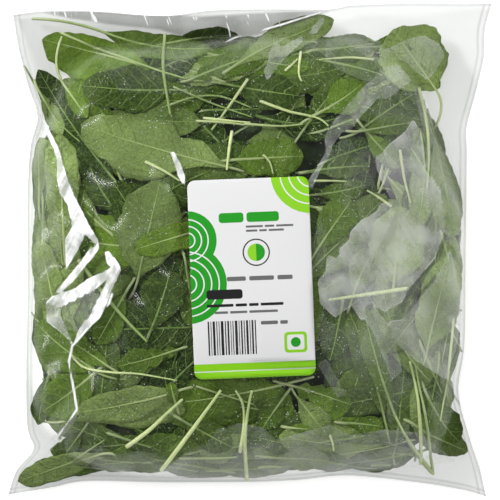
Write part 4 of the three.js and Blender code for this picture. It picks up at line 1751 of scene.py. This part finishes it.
def film_streaks(g, at):
    """Long streaks that fan out to both sides, broken up by a slower noise."""
    x, y, _ = g.parts(at)
    aside = abs(x)
    with_streak = aside * 0.45 - y * 0.89
    across_streak = aside * 0.89 + y * 0.45
    streak = g.noise(g.vector(with_streak * 22.0, across_streak * 230.0, 0.0), 1.0, 3.0, 0.6)
    return streak * 0.4 + g.noise(at, 85.0, 3.0) * 0.6


def facet_shine(g, at, facet, white):
    """The facets' painted highlights: cloudy bodies, brushed where they are bright, with a broken bright
    edge.
    """
    streak = film_streaks(g, at)
    facet = facet + (g.noise(at, 420.0) - 0.5) * 0.12
    within = g.step(0.44, 0.56, facet)
    edge = 1 - g.step(0.0, 0.09, abs(facet - 0.5))
    strong = g.step(0.5, 0.7, white)
    brushed = g.step(0.38, 0.58, streak) * (strong * 0.45 + 0.25)
    cloud = g.highest(g.step(0.3, 0.65, g.noise(at, 55.0, 3.0)) * 0.6 + 0.4, strong)
    rim = edge * g.step(0.42, 0.6, streak)
    return white * (within * cloud * (brushed + 0.46) + rim * 0.5)


def pleat_shine(g, at, grey):
    """Painted highlights on short pleats across the grey band at the top."""
    x, y, _ = g.parts(at)
    pleat = g.noise(g.vector((y * 0.35 + x) * 480.0, y * 75.0, 0.0), 1.0, 1.0)
    return g.step(0.62, 0.8, grey) * g.step(0.61, 0.70, pleat) * 0.6


def film_material():
    """Thin clear film: it mirrors more at a slant, hazes a little, is faintly crazed, and carries painted
    highlights and shade.
    """
    g = Graph("clear_film")
    at = g.object_place()
    soft, grey, facet = g.attribute("look")
    white, line, dark = g.attribute("shine")
    # Painted highlights along the crests' white lines
    crest = g.step(0.62, 0.9, line) * 0.85
    shine = g.highest(g.highest(facet_shine(g, at, facet, white), pleat_shine(g, at, grey)), crest)
    scatter_and_painted_shine = g.math("MINIMUM", soft + shine, MOST_SCATTER_AND_SHINE)
    # Painted shade along the crests' dark lines, on top of the film's grey
    shaded = g.highest(grey, g.step(0.48, 0.72, dark) * 0.72)
    clear = g.node("BsdfTransparent", {"Color": g.mix(shaded, FILM_CLEAR, FILM_GREYED)})
    haze_and_painted_reflection = g.node("BsdfDiffuse", {"Color": FILM_HAZE_AND_PAINTED_SHINE})
    hazed_and_painted_shine = g.node("MixShader", {0: scatter_and_painted_shine, 1: clear, 2: haze_and_painted_reflection})
    # A faint glow where the film is whitest: painted highlight
    glow = g.node("Emission", {"Strength": scatter_and_painted_shine**2.0 * 0.22})
    lit = g.node("AddShader", {0: hazed_and_painted_shine, 1: glow})
    normal = g.bump(g.noise(at, 90.0, 3.0, 0.55), 0.15, 0.0008)
    slant = g.node("LayerWeight", {"Blend": 0.5, "Normal": normal}, "Facing")
    gloss = g.node("BsdfGlossy", {"Roughness": 0.17, "Normal": normal})
    return g.finish(g.node("MixShader", {0: slant**4.0 * 0.45 + 0.03, 1: lit, 2: gloss}))


def paper_material(ink, colour):
    return Graph("label_" + ink).finish_plain(colour, 0.38, 0.4)


def water_material():
    # The whitish colour is the drops' sparkle, painted in; their gloss is real
    return Graph("water").finish_plain((0.90, 0.93, 0.91, 1), 0.1, 0.8, Alpha=0.5)


def dress(piece, material):
    if material:
        piece.data.materials.append(material)
    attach(piece, "root")


# The stage, in metres

FLOOR_SIDE = 4.0
FLOOR_DROP = 0.0005
FLOOR_COLOUR = (0.86, 0.86, 0.86, 1)
FLOOR_GLOW = 0.53

# Each light's name, place, width, depth and power, and whether it is mirrored and whether it lights
LIGHTS = [
    ("glint", (-1.1, 0.1, 0.66), 0.08, 1.1, 4.5, True, False),
    ("fill", (1.0, -0.1, 0.9), 0.8, 1.0, 4.0, True, True),
    ("overhead", (0.05, 0.15, 1.7), 1.3, 1.3, 12.0, False, True),
    ("side", (-0.85, 0.75, 0.95), 0.35, 0.35, 16.0, False, True),
]


def make_stage():
    """A plain pale floor and soft lights: a large one overhead, a bright one to the left and a fill."""
    bpy.ops.mesh.primitive_plane_add(size=FLOOR_SIDE, location=(0, 0, -FLOOR_DROP))
    floor = bpy.context.object
    floor.name = "floor"
    glow = {"Emission Color": (1, 1, 1, 1), "Emission Strength": FLOOR_GLOW}
    floor.data.materials.append(Graph("floor").finish_plain(FLOOR_COLOUR, 0.9, 0.5, **glow))
    for name, place, width, depth, power, mirrored, lighting in LIGHTS:
        data = bpy.data.lights.new(name, "AREA")
        data.shape = "RECTANGLE"
        data.size = width
        data.size_y = depth
        data.energy = power
        light = bpy.data.objects.new(name, data)
        light.location = place
        light.rotation_mode = "QUATERNION"
        light.rotation_quaternion = (-Vector(place)).to_track_quat("-Z", "Y")
        light.visible_glossy = mirrored
        light.visible_diffuse = lighting
        bpy.context.scene.collection.objects.link(light)
    make_world()
    bpy.context.scene.view_settings.view_transform = "Standard"


def make_world():
    """Bright walls and a dim ceiling, so that level film mirrors little of the room."""
    world = bpy.data.worlds.new("studio")
    world.use_nodes = True
    tree = world.node_tree
    split = tree.nodes.new("ShaderNodeSeparateXYZ")
    tree.links.new(tree.nodes.new("ShaderNodeTexCoord").outputs["Generated"], split.inputs[0])
    fall = tree.nodes.new("ShaderNodeMapRange")
    for key, value in (("From Min", 0.2), ("From Max", 0.9), ("To Min", 0.3), ("To Max", 0.05)):
        fall.inputs[key].default_value = value
    tree.links.new(split.outputs["Z"], fall.inputs["Value"])
    background = tree.nodes["Background"]
    background.inputs[0].default_value = (1, 1, 1, 1)
    tree.links.new(fall.outputs["Result"], background.inputs[1])
    bpy.context.scene.world = world


def make_camera():
    """Looks straight down on the bag, as the photograph does."""
    data = bpy.data.cameras.new("camera")
    data.sensor_width = SENSOR
    frame_width = PHOTO_SIDE * MM_PER_PIXEL
    data.lens = SENSOR * (CAMERA_HEIGHT - EDGE_PLANE) / frame_width
    data.clip_end = 10
    camera = bpy.data.objects.new("camera", data)
    camera.location = (0, 0, CAMERA_HEIGHT * MM)
    bpy.context.scene.collection.objects.link(camera)
    bpy.context.scene.camera = camera


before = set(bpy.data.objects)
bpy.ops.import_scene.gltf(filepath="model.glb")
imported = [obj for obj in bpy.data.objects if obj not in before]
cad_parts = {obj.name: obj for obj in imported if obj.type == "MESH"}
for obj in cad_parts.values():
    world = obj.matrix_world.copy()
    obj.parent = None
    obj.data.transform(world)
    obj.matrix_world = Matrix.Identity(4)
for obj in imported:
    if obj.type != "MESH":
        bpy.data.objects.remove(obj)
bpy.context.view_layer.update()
make_camera()
make_stage()

front, middle, back, stems, core = make_heap()
leaf = leaf_material()
for piece in (front, middle, back):
    dress(piece, leaf)
dress(stems, stem_material())
dress(core, core_material())
film = make_film()
dress(film, film_material())
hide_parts("bag")
dress(make_drops(), water_material())
label = make_label()
dress(label, None)
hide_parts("label")
